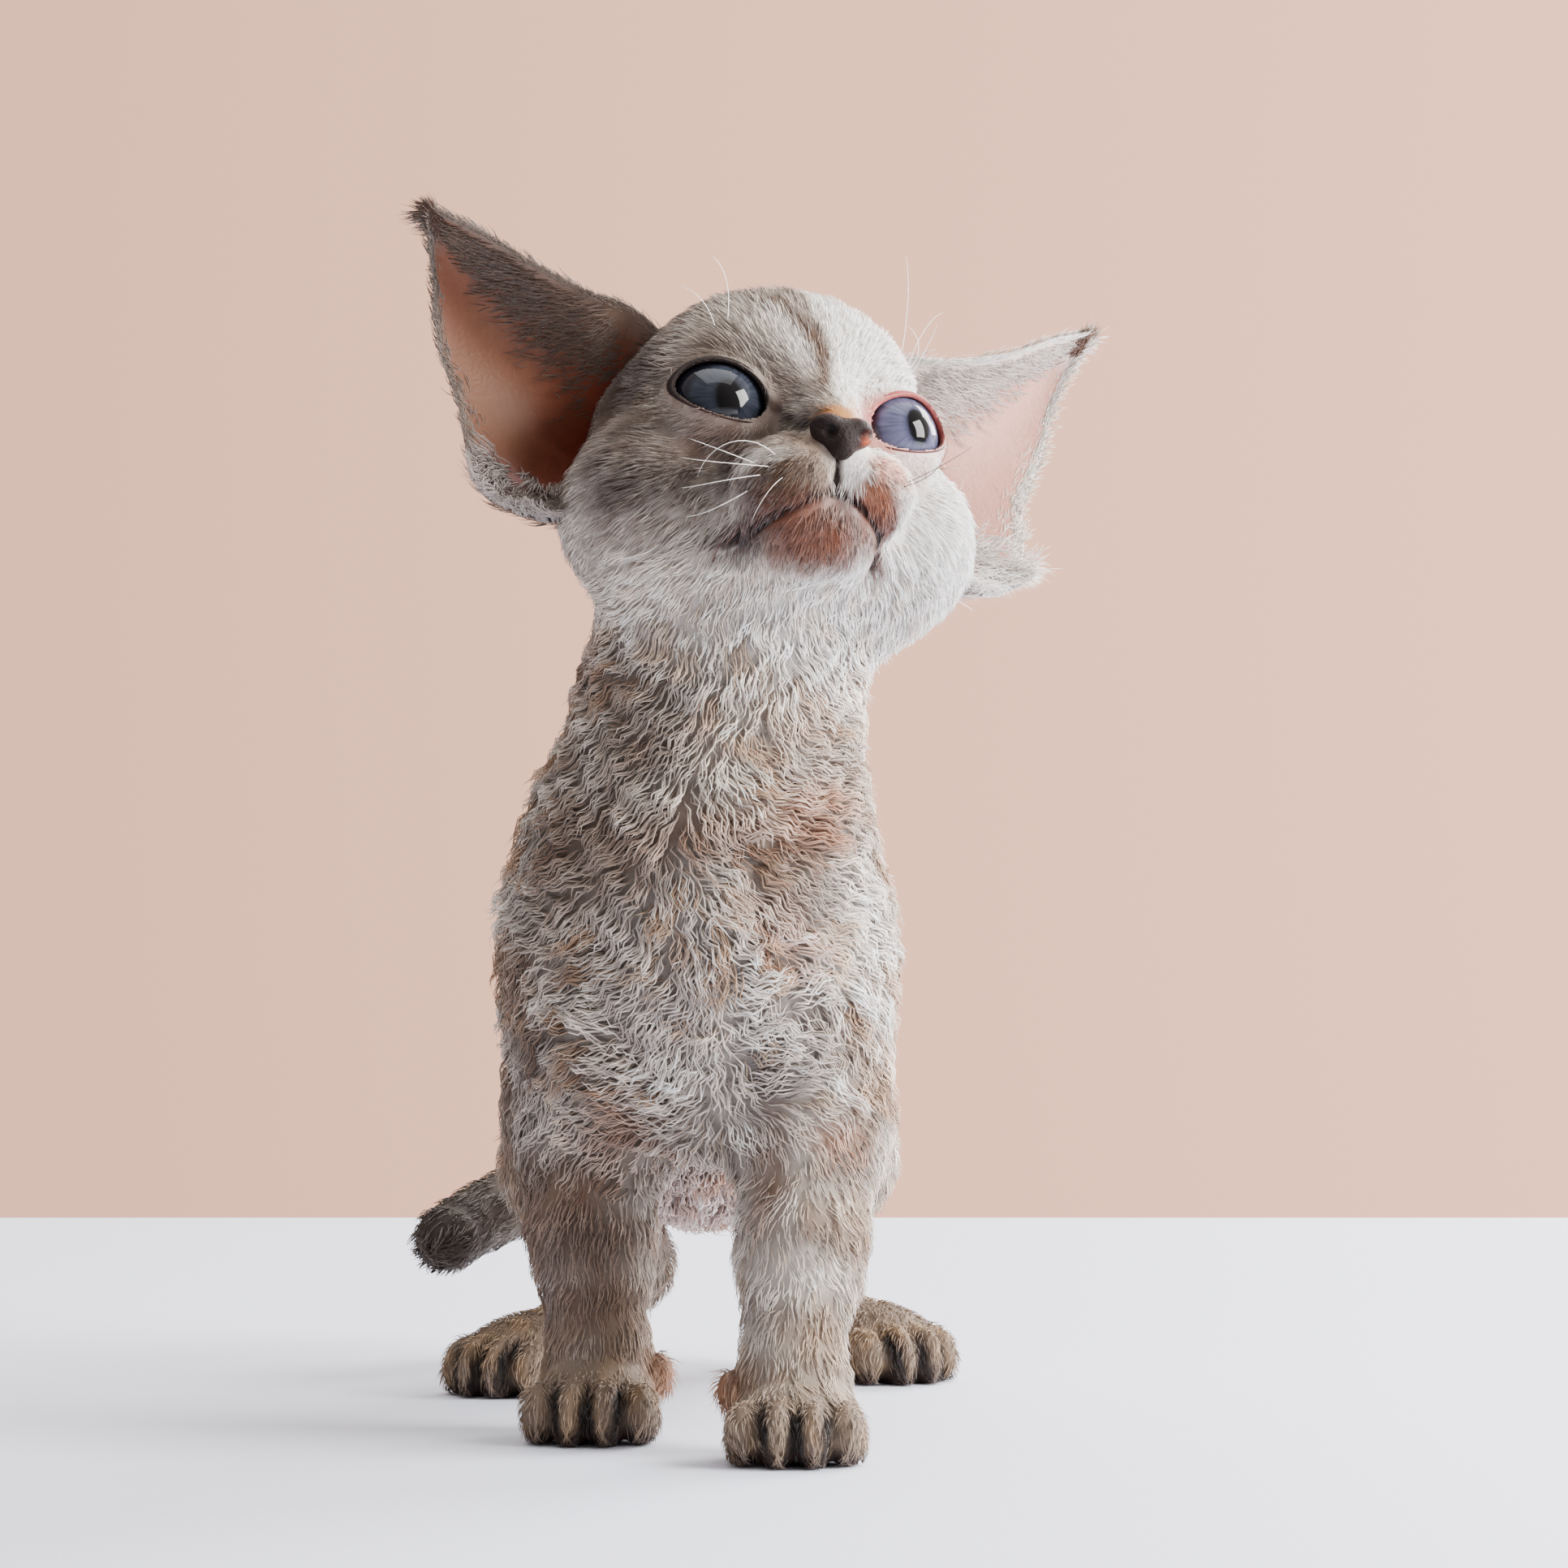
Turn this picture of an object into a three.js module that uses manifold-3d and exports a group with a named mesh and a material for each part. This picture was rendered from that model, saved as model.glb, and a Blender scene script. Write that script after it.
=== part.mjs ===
// A Devon Rex kitten of about six weeks, life size, its hindquarters lowered and its head raised.
// Millimetres, +Z up. The kitten faces -Y, its left side is +X, and its four soles are flats at Z = 0.
import * as THREE from "three";
import { mergeVertices } from "three/addons/utils/BufferGeometryUtils.js";
import Module from "manifold-3d";

const wasm = await Module();
wasm.setup();

// Driving dimensions, with the coat on: the body
const BODY_HALF_WIDTH = 27.5;
const CHEST_HEIGHT = 71;
const CHEST_DEPTH = 34;
const BELLY_HEIGHT = 55;
const RUMP_HEIGHT = 54;
const NECK_RADIUS = 21.5;
const ELBOW_HEIGHT = 47;
const HOCK_HEIGHT = 18.5;
const TAIL_LENGTH_RINGS = 14;
const TAIL_RADIUS = 8.8;
const TAIL_TIP_RADIUS = 6.4;

// The head: where it sits on the body, and its turn to the left, up and over to the left
const HEAD_AT = [10.5, 24, 143.5];
const HEAD_YAW = 22;
const HEAD_PITCH = 18;
const HEAD_ROLL = 9;
const EYE_RADIUS = 7.6;
const EYE_AT = [13.3, -14.2, 0.7];
const EYE_TURN_OUT = 13;
const EYE_OPENING = [6.3, 4.3];
const LID_THICKNESS = 1.2;
const EAR_THICKNESS = 1.8;

// The curly coat: clumps that lie over one another down the neck and chest and back along the body
const COAT_DEPTH = 5;
const CLUMP_PITCH = 12;
const CLUMP_LENGTH = 16;
const CLUMP_WIDTH = 12;
const CLUMP_THICKNESS = 5.4;
const CLUMP_SWAY = 2.6;
const CLUMP_SHAPE = [[0, 0], [0.7, 0.18], [1, 0.55], [0.8, 0.88], [0, 1]];
const SEED = 11;

// Fineness of the faceted skin, and the gap between neighbours
const CORE_CELL = 5.4;
const LIMB_CELL = 4.3;
const HOCK_CELL = 3.6;
const PAW_CELL = 2.6;
const HEAD_CELL = 3;
const NOSE_CELL = 1.3;
const GAP = 0.3;
const FLATNESS = 0.12;

const radians = THREE.MathUtils.degToRad;
const vector = (p) => new THREE.Vector3(...p);
const mix = (a, b, t) => a.map((v, i) => v + (b[i] - v) * t);
const mirrored = (p, side) => [side * p[0], p[1], p[2]];
const SIDES = [["left", 1], ["right", -1]];

// Where the paws stand, and how far each is turned out
const FOREPAWS = { left: { at: [14.6, -1], turn: 0 }, right: { at: [-15, 26], turn: -4 } };
const HINDPAWS = { left: { at: [28.8, 112], turn: 30 }, right: { at: [-29, 92], turn: -30 } };

// Distance fields: negative inside

function ball(centre, radii) {
  const [rx, ry, rz] = radii;
  return (x, y, z) => {
    const u = (x - centre[0]) / rx;
    const v = (y - centre[1]) / ry;
    const w = (z - centre[2]) / rz;
    const near = Math.hypot(u, v, w);
    const slope = Math.hypot(u / rx, v / ry, w / rz);
    return slope > 0 ? (near * (near - 1)) / slope : -Math.min(rx, ry, rz);
  };
}

// A limb is a cone with round ends, from a to b.
function limb(a, b, ra, rb) {
  const along = b.map((v, i) => v - a[i]);
  const squared = along.reduce((s, v) => s + v * v, 0);
  const fall = ra - rb;
  const rest = squared - fall * fall;
  return (x, y, z) => {
    const p = [x - a[0], y - a[1], z - a[2]];
    const t = p[0] * along[0] + p[1] * along[1] + p[2] * along[2];
    const side = p.reduce((s, v, i) => s + (v * squared - along[i] * t) ** 2, 0);
    const past = t - squared;
    const k = Math.sign(fall) * fall * fall * side;
    if (Math.sign(past) * rest * past * past * squared > k)
      return Math.sqrt(side + past * past * squared) / squared - rb;
    if (Math.sign(t) * rest * t * t * squared < k)
      return Math.sqrt(side + t * t * squared) / squared - ra;
    return (Math.sqrt((side * rest) / squared) + t * fall) / squared - ra;
  };
}

// Joins fields with a fillet of about size k.
function blend(k, ...fields) {
  return (x, y, z) => {
    let d = fields[0](x, y, z);
    for (let i = 1; i < fields.length; i++) {
      const e = fields[i](x, y, z);
      const h = Math.max(k - Math.abs(d - e), 0) / k;
      d = Math.min(d, e) - (h * h * k) / 4;
    }
    return d;
  };
}

const offset = (field, by) => (x, y, z) => field(x, y, z) + by;
const both = (side) => (centre, radii) => ball(mirrored(centre, side), radii);

function slopeOf(field, [x, y, z], step = 0.2) {
  return new THREE.Vector3(
    field(x + step, y, z) - field(x - step, y, z),
    field(x, y + step, z) - field(x, y - step, z),
    field(x, y, z + step) - field(x, y, z - step),
  ).divideScalar(2 * step);
}

// The first point of the surface on the way from a point outside it.
function meet(field, from, direction, most = 80) {
  const p = vector(from);
  const step = vector(direction).normalize();
  for (let gone = 0, i = 0; gone < most && i < 200; i++) {
    const d = field(p.x, p.y, p.z);
    if (d < 0.01) break;
    gone += d * 0.7;
    p.addScaledVector(step, d * 0.7);
  }
  return p;
}

// Solids

function solidOf(positions, triangles) {
  const vertProperties = new Float32Array(positions);
  return new wasm.Manifold(
    new wasm.Mesh({ numProp: 3, vertProperties, triVerts: new Uint32Array(triangles) }),
  );
}

function solidOfGeometry(geometry) {
  const bare = geometry.clone();
  bare.deleteAttribute("normal");
  bare.deleteAttribute("uv");
  const merged = mergeVertices(bare, 1e-4);
  return solidOf(merged.getAttribute("position").array, merged.index.array);
}

// Faces that lie flat to within FLATNESS are joined, with the slivers that the cuts leave.
function geometryOf(solid) {
  const mesh = solid.asOriginal().simplify(FLATNESS).getMesh();
  return new THREE.BufferGeometry()
    .setAttribute("position", new THREE.BufferAttribute(mesh.vertProperties, 3))
    .setIndex(new THREE.BufferAttribute(mesh.triVerts, 1));
}

// Moves every vertex of a geometry to place(x, y, z).
function bent(geometry, place) {
  const position = geometry.getAttribute("position");
  for (let i = 0; i < position.count; i++) {
    const p = place(position.getX(i), position.getY(i), position.getZ(i));
    position.setXYZ(i, p.x, p.y, p.z);
  }
  return geometry;
}

const largest = (solid) =>
  solid.decompose().reduce((a, b) => (b.volume() > a.volume() ? b : a));

// The closed surface where a field is zero: a vertex in each grid cell that it crosses, drawn on to the
// surface, and a quad over each grid edge that it crosses.
const CORNERS = [0, 1, 2, 3, 4, 5, 6, 7].map((c) => [c & 1, (c >> 1) & 1, c >> 2]);
const EDGES = CORNERS.flatMap((c, i) =>
  [1, 2, 4].filter((bit) => !(i & bit)).map((bit) => [i, i | bit]),
);

function surfaceOf(wholeField, low, high, cell) {
  const field = (...p) => {
    const outside = p.map((v, i) => Math.max(low[i] + cell - v, v - high[i] + cell));
    return Math.max(wholeField(...p), ...outside);
  };
  const count = low.map((l, i) => Math.ceil((high[i] - l) / cell) + 1);
  const stride = [1, count[0], count[0] * count[1]];
  const indexOf = (n) => n[0] + n[1] * stride[1] + n[2] * stride[2];
  const value = new Float32Array(count[0] * count[1] * count[2]);
  const nodes = [];
  for (let k = 0; k < count[2]; k++)
    for (let j = 0; j < count[1]; j++)
      for (let i = 0; i < count[0]; i++) nodes.push([i, j, k]);
  for (const n of nodes)
    value[indexOf(n)] = field(...n.map((v, axis) => low[axis] + v * cell));
  const vertexIn = new Int32Array(value.length).fill(-1);
  const points = [];
  for (const n of nodes) {
    if (n.some((v, axis) => v === count[axis] - 1)) continue;
    const values = CORNERS.map((c) => value[indexOf(n.map((v, axis) => v + c[axis]))]);
    const crossings = EDGES.filter(([a, b]) => values[a] < 0 !== values[b] < 0).map(([a, b]) =>
      mix(CORNERS[a], CORNERS[b], values[a] / (values[a] - values[b])),
    );
    if (!crossings.length) continue;
    const mean = [0, 1, 2].map((axis) => crossings.reduce((s, c) => s + c[axis], 0) / crossings.length);
    vertexIn[indexOf(n)] = points.length;
    points.push(drawnOn(field, mean.map((v, axis) => low[axis] + (n[axis] + v) * cell), cell));
  }
  const triangles = [];
  for (const n of nodes)
    for (let axis = 0; axis < 3; axis++) {
      const u = (axis + 1) % 3;
      const v = (axis + 2) % 3;
      if (n[axis] === count[axis] - 1 || n[u] === 0 || n[v] === 0) continue;
      const here = indexOf(n);
      const inside = value[here] < 0;
      if (inside === value[here + stride[axis]] < 0) continue;
      const quad = [here - stride[u] - stride[v], here - stride[v], here, here - stride[u]].map(
        (cellIndex) => vertexIn[cellIndex],
      );
      if (!inside) quad.reverse();
      const [a, b, c, d] = quad;
      const shortAC = span(points, a, c) < span(points, b, d);
      triangles.push(...(shortAC ? [a, b, c, a, c, d] : [a, b, d, b, c, d]));
    }
  return solidOf(points.flat(), triangles);
}

const span = (points, a, b) => Math.hypot(...points[a].map((v, i) => v - points[b][i]));

function drawnOn(field, start, cell) {
  const p = vector(start);
  for (let i = 0; i < 3; i++) {
    const slope = slopeOf(field, p.toArray());
    const move = slope.multiplyScalar(-field(p.x, p.y, p.z) / Math.max(slope.lengthSq(), 0.25));
    p.add(move.clampLength(0, cell * 0.4));
  }
  return p.toArray();
}

// Keeps the side of a plane that its normal points to, half a gap away from it.
const beyond = (solid, plane) =>
  solid.trimByPlane(plane.normal.toArray(), plane.point.dot(plane.normal) + GAP / 2);

const flipped = (plane) => ({ point: plane.point, normal: plane.normal.clone().negate() });

// A block whose top face is the plane, reaching depth below it.
function blockUnder(plane, width, length, depth, grown = 0) {
  const geometry = new THREE.BoxGeometry(width, length, depth);
  geometry.translate(0, 0, -depth / 2 + grown);
  const turn = new THREE.Quaternion().setFromUnitVectors(new THREE.Vector3(0, 0, 1), plane.normal);
  geometry.applyQuaternion(turn);
  geometry.translate(...plane.point.toArray());
  return solidOfGeometry(geometry);
}

// Flesh of the body, as fields in the body's frame

function foreleg(name, side) {
  const { at } = FOREPAWS[name];
  const back = at[1] > 10 ? 8 : 16;
  const elbow = [side * 17, at[1] + back + 6, ELBOW_HEIGHT];
  const wrist = [at[0] - side * 0.4, at[1] + 6, 14];
  return blend(
    6,
    limb([side * 14.5, 30, 74], elbow, 14, 12),
    limb(elbow, mix(elbow, wrist, 0.55), 12, 9.4),
    limb(mix(elbow, wrist, 0.5), wrist, 9.4, 8.6),
  );
}

function hindleg(name, side) {
  const { at } = HINDPAWS[name];
  const hock = [side * 12.5, at[1] + 21, HOCK_HEIGHT];
  const knee = [side * 19.5, at[1] - 20, 38];
  const toes = [at[0] - side * 4, at[1] + 6, 6.3];
  const shank = limb(knee, hock, 11.5, 7);
  return {
    upper: blend(4, limb([side * 11, 113, 54], knee, 17.5, 12), shank),
    lower: blend(4, shank, limb(hock, toes, 7, 5.6), pawField(HINDPAWS[name], side, false)),
    knee,
    hock,
    toes,
  };
}

// A paw faces -Y of its own frame, and stands with its middle over the origin.
function pawField(paw, side, isFore) {
  const scale = isFore ? 1 : 0.92;
  const turn = radians(paw.turn);
  const cos = Math.cos(turn);
  const sin = Math.sin(turn);
  const toes = [-7.4, -2.6, 2.6, 7.4].map((x) => {
    const outer = Math.abs(x) > 5;
    return ball(
      [x * scale, outer ? -6.2 : -8.6, 4.1],
      [3.15 * scale, outer ? 5.4 : 5.9, outer ? 5.3 : 5.8],
    );
  });
  const instep = isFore ? 9 : 6;
  const palm = blend(
    4,
    ball([0, 0, 5.6], [9.6 * scale, 9.5, 6.8]),
    ball([0, 5, instep], [8.4 * scale, 8, instep - 0.5]),
  );
  const dew = ball([-side * 9.4, 4.5, 9.5], [2.6, 3.2, 3.6]);
  const local = blend(1.4, ...toes, palm, ...(isFore ? [dew] : []));
  return (x, y, z) => {
    const dx = x - paw.at[0];
    const dy = y - paw.at[1];
    return local(cos * dx + sin * dy, -sin * dx + cos * dy, z);
  };
}

const hindlegs = Object.fromEntries(SIDES.map(([name, side]) => [name, hindleg(name, side)]));

const trunk = blend(
  12,
  ball([0, 50, CHEST_HEIGHT], [BODY_HALF_WIDTH - 1, 38, CHEST_DEPTH]),
  ball([0, 25, CHEST_HEIGHT + 3], [BODY_HALF_WIDTH - 3, 25, CHEST_DEPTH - 2]),
  ball([0, 80, BELLY_HEIGHT], [BODY_HALF_WIDTH - 4, 40, 29]),
  ball([0, 112, RUMP_HEIGHT], [BODY_HALF_WIDTH - 6, 26, 24]),
);
const shoulders = blend(
  8,
  ball([14, 26, 70], [13.5, 20, 30]),
  ball([-14.5, 32, 70], [13.5, 20, 30]),
);
const neckLimb = limb([0.5, 28, 90], [6.6, 30, 126], NECK_RADIUS + 3, NECK_RADIUS);
const uprightField = blend(
  8,
  blend(9, trunk, shoulders, neckLimb),
  blend(
    1.5,
    ...SIDES.map(([name, side]) => foreleg(name, side)),
    ...SIDES.map(([name]) => hindlegs[name].upper),
  ),
);

// Flesh of the head, as fields in its own frame: the face looks along -Y

const headEuler = new THREE.Euler(radians(-HEAD_PITCH), radians(HEAD_ROLL), radians(HEAD_YAW), "ZXY");
const headMatrix = new THREE.Matrix4()
  .makeRotationFromEuler(headEuler)
  .setPosition(vector(HEAD_AT));
const toBody = headMatrix.elements;
const toHead = headMatrix.clone().invert().elements;
const moved = (m, field) => (x, y, z) =>
  field(
    m[0] * x + m[4] * y + m[8] * z + m[12],
    m[1] * x + m[5] * y + m[9] * z + m[13],
    m[2] * x + m[6] * y + m[10] * z + m[14],
  );

const skull = blend(
  7,
  ball([0, 7, 4], [25.5, 26, 21]),
  ball([0, -6, 11], [20, 15, 14.5]),
  ball([0, -6, -17], [16.5, 19, 9]),
  ...SIDES.map(([, side]) => both(side)([18.3, -1, -10.5], [14, 17, 14.5])),
);
const muzzle = blend(
  4,
  ball([0, -19, -12], [12, 9, 9]),
  limb([0, -13, 7], [0, -27.5, -4.5], 7.5, 4.4),
  ball([0, -22.6, -20.8], [8, 6.6, 5]),
);
const whiskerPads = blend(
  1.6,
  ...SIDES.map(([, side]) => both(side)([6.1, -25.2, -13], [7.2, 6.8, 6.3])),
);
const lids = SIDES.map(([, side]) =>
  ball(mirrored(EYE_AT, side), Array(3).fill(EYE_RADIUS + LID_THICKNESS)),
);
const headFlesh = blend(3, blend(4, blend(6, skull, muzzle), whiskerPads), ...lids);
const headField = blend(9, headFlesh, moved(toBody, uprightField));
const fleshField = blend(9, moved(toHead, headFlesh), uprightField);

// Where the body is parted

const planeAt = (point, normal) => ({ point: vector(point), normal: vector(normal).normalize() });
const headBase = planeAt([0, 12, -16.5], [0, -0.45, 0.89]);
const neckTop = {
  point: headBase.point.clone().applyMatrix4(headMatrix),
  normal: headBase.normal.clone().transformDirection(headMatrix),
};
const neckBase = planeAt([2, 32, 101], [0.08, -0.3, 0.95]);

// The curly coat

const { lerp, smoothstep } = THREE.MathUtils;

// 1 where the coat curls, fading to 0 at the head, the tail, the elbows and the knees.
function curly(x, y, z) {
  const low = lerp(48, 31, smoothstep(y, 50, 75));
  const underHead = neckTop.point.clone().sub(vector([x, y, z])).dot(neckTop.normal);
  const fromTail = Math.hypot(x, y - 128, z - 52);
  return smoothstep(z, low, low + 10) * smoothstep(underHead, 2, 10) * smoothstep(fromTail, 12, 24);
}

// The flesh and the felted half of the coat, which the clumps grow from.
const coreField = (x, y, z) => fleshField(x, y, z) + (COAT_DEPTH / 2) * curly(x, y, z);

function seeded(seed) {
  let state = seed;
  return () => {
    state = (state * 16807) % 2147483647;
    return state / 2147483647;
  };
}

// The roots of the clumps: vertices of the core, taken in a seeded order and kept a pitch apart.
function clumpRoots(solid, draw) {
  const mesh = solid.getMesh();
  const places = [];
  for (let i = 0; i < mesh.numVert; i++) places.push([...mesh.position(i)]);
  const shuffled = places.map((p) => [draw(), p]).sort((a, b) => a[0] - b[0]);
  const roots = [];
  for (const [, p] of shuffled) {
    const isFree = roots.every((q) => Math.hypot(...p.map((v, i) => v - q[i])) > CLUMP_PITCH);
    if (curly(...p) > 0.7 && isFree) roots.push(p);
  }
  return roots;
}

// A rounded clump: sunk in the core at its root, it lies down and back and its tip curls out.
function clump(root, draw) {
  const normal = slopeOf(fleshField, root).normalize();
  const back = lerp(-0.1, 1, smoothstep(root[1], 14, 50)) * lerp(0.6, 1, smoothstep(root[2], 45, 65));
  const along = new THREE.Vector3(0, back, -0.9)
    .projectOnPlane(normal)
    .normalize()
    .applyAxisAngle(normal, (draw() - 0.5) * 0.7);
  const across = along.clone().cross(normal);
  const size = 0.88 + 0.24 * draw();
  const sway = CLUMP_SWAY * (draw() < 0.5 ? -1 : 1);
  const shape = CLUMP_SHAPE.map((point) => new THREE.Vector2(...point));
  return solidOfGeometry(
    bent(new THREE.LatheGeometry(shape, 5), (x, t, z) => {
      const half = (CLUMP_THICKNESS / 2) * (t < 1 ? 1 : 0.2);
      const depth = Math.max(lerp(COAT_DEPTH + 1, 0.4, t ** 0.6), half);
      const start = vector(root)
        .addScaledVector(along, (t - 0.3) * CLUMP_LENGTH * size)
        .addScaledVector(across, sway * Math.sin(t * 4));
      const centre = drawnOn(offset(fleshField, depth), start.toArray(), 20);
      const out = slopeOf(fleshField, centre).normalize();
      return vector(centre)
        .addScaledVector(across, (x * size * CLUMP_WIDTH) / 2)
        .addScaledVector(out, (z * CLUMP_THICKNESS) / 2);
    }),
  );
}

function legPlanes(name, side) {
  const fore = FOREPAWS[name];
  const hind = HINDPAWS[name];
  const { knee, hock, toes } = hindlegs[name];
  return {
    elbow: planeAt([side * 17, fore.at[1] + 8, ELBOW_HEIGHT - 1], [0, 0.3, 0.95]),
    wrist: planeAt([fore.at[0], fore.at[1] + 4, 14.5], [0, 0.2, 0.98]),
    hip: planeAt([side * 14, hind.at[1] + 9, 48], [-side * 0.94, 0, 0.34]),
    shank: planeAt(mix(knee, hock, 0.5), knee.map((v, i) => v - hock[i])),
    ankle: planeAt(mix(hock, toes, 0.62), hock.map((v, i) => v - toes[i])),
  };
}

// The opening of the lids, in the head's frame

function eyeFrame(side) {
  const turn = radians(EYE_TURN_OUT);
  const forward = new THREE.Vector3(side * Math.sin(turn), -Math.cos(turn), 0.12).normalize();
  const outward = new THREE.Vector3(0, 0, 1).cross(forward).multiplyScalar(side).normalize();
  const up = new THREE.Vector3().crossVectors(forward, outward).multiplyScalar(side);
  return { centre: vector(mirrored(EYE_AT, side)), forward, outward, up };
}

// A point of the almond round the eye, at an angle, on the eyeball.
function almond(side, angle) {
  const { centre, forward, outward, up } = eyeFrame(side);
  const across = EYE_OPENING[0] * Math.cos(angle);
  const lean = 0.16 * across;
  const high = EYE_OPENING[1] * Math.sin(angle) + lean;
  const ahead = Math.sqrt(EYE_RADIUS ** 2 - across ** 2 - high ** 2);
  return centre
    .clone()
    .addScaledVector(outward, across)
    .addScaledVector(up, high)
    .addScaledVector(forward, ahead);
}

function eyeOpening(side) {
  const { centre, forward } = eyeFrame(side);
  const rim = new THREE.CylinderGeometry(1, 1, 1, 24);
  return solidOfGeometry(
    bent(rim, (x, y, z) => {
      const reach = y > 0 ? 1.7 : 0.35;
      const middle = centre.clone().addScaledVector(forward, EYE_RADIUS * reach);
      if (Math.hypot(x, z) < 0.5) return middle;
      return almond(side, Math.atan2(-z, x) * side).sub(centre).multiplyScalar(reach).add(centre);
    }),
  );
}

// Mouth and nose, in the head's frame

const fromFront = (x, z) => meet(headFlesh, [x, -60, z], [0, 1, 0]);
const MOUTH_MIDDLE = -15.2;
const MOUTH_HALF_WIDTH = 11.8;
const MOUTH_FALL = 4.8;

function mouthPoint(x, lower = 0) {
  const t = Math.min(Math.abs(x) / MOUTH_HALF_WIDTH, 1);
  return fromFront(x, MOUTH_MIDDLE - MOUTH_FALL * Math.sin((t * Math.PI) / 2) ** 1.2 - lower);
}

function tube(points, radius, steps = 22, sides = 3) {
  const section = new THREE.Shape().absarc(0, 0, radius, 0, 2 * Math.PI);
  const geometry = new THREE.ExtrudeGeometry(section, {
    steps,
    curveSegments: sides,
    bevelEnabled: false,
    extrudePath: new THREE.CatmullRomCurve3(points),
  });
  return solidOfGeometry(geometry);
}

const stations = (count, from, to) =>
  Array.from({ length: count }, (_, i) => from + ((to - from) * i) / (count - 1));

const mouthLine = tube(stations(13, -MOUTH_HALF_WIDTH, MOUTH_HALF_WIDTH).map((x) => mouthPoint(x)), 0.62);
const lowerLip = tube(stations(9, -8, 8).map((x) => mouthPoint(x, 1.5)), 1.15, 18);
const philtrum = tube(stations(5, -10.5, MOUTH_MIDDLE - 0.3).map((z) => fromFront(0, z)), 0.5, 8);

const noseField = blend(
  1.6,
  ball([2.1, -30.6, -6.5], [2.6, 2.5, 2.3]),
  ball([-2.1, -30.6, -6.5], [2.6, 2.5, 2.3]),
  ball([0, -31, -8.4], [2, 2.2, 2.6]),
);
const noseBox = [[-7, -36, -14], [7, -26, -3]];
const HEAD_BOX = [[-38, -38, -36], [38, 42, 34]];
const BODY_BOX = [[-46, -18, -8], [48, 150, 152]];

function noseSolid() {
  const nostrils = SIDES.map(([, side]) =>
    tube(
      [[1.9, -34.4, -7.8], [2.7, -33, -7.6], [4.2, -32.4, -6.8]].map((p) => vector(mirrored(p, side))),
      0.6,
      5,
    ),
  );
  const pad = surfaceOf(noseField, ...noseBox, NOSE_CELL);
  return largest(nostrils.reduce((solid, cut) => solid.subtract(cut), pad));
}

function headSolid() {
  const flesh = surfaceOf(headField, ...HEAD_BOX, HEAD_CELL);
  const sockets = SIDES.flatMap(([, side]) => [
    solidOfGeometry(
      new THREE.SphereGeometry(EYE_RADIUS + GAP, 16, 10).translate(...mirrored(EYE_AT, side)),
    ),
    eyeOpening(side),
  ]);
  const canals = SIDES.map(([, side]) =>
    solidOfGeometry(
      new THREE.IcosahedronGeometry(1, 2).scale(8, 6.5, 9).translate(...mirrored([27, 1, 1], side)),
    ),
  );
  const noseRoom = surfaceOf(offset(noseField, -GAP), ...noseBox, NOSE_CELL);
  const cuts = wasm.Manifold.union([...sockets, ...canals, noseRoom, mouthLine, philtrum]);
  return largest(beyond(flesh.add(lowerLip).subtract(cuts), headBase));
}

// An ear is a thin cup, wide at its root. Across it, u runs from the inner edge to the outer one, and along
// it, v runs from the root to the tip.

const EAR_INNER_EDGE = [
  [13, 3, 18],
  [21, 1, 22.5],
  [29, -1, 23],
  [37, -1.5, 25.4],
  [45.5, 1, 30.4],
  [52, 4, 33.6],
];
const EAR_OUTER_EDGE = [
  [25, 1, -14],
  [34.5, 3, -14.2],
  [41.5, 5.5, -10.8],
  [44.3, 7, -4],
  [45.4, 10, 5.4],
  [48.5, 11, 14.2],
  [50.4, 9.6, 24.5],
  [52.8, 5, 32.4],
];
const EAR_ACROSS = 9;
const EAR_ALONG = 9;

function earPoint(side, u, v) {
  const inner = earEdges.inner.getPoint(v);
  const outer = earEdges.outer.getPoint(v);
  const chord = outer.clone().sub(inner);
  const depth = (0.5 - 0.22 * v) * chord.length();
  const belly = Math.sin(Math.PI * u) ** 0.8;
  const back = new THREE.Vector3(-0.5, 0.86, 0.1);
  const p = inner.addScaledVector(chord, u).addScaledVector(back, depth * belly);
  return p.setX(side * p.x);
}

const earEdges = {
  inner: new THREE.CatmullRomCurve3(EAR_INNER_EDGE.map(vector)),
  outer: new THREE.CatmullRomCurve3(EAR_OUTER_EDGE.map(vector)),
};

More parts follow.
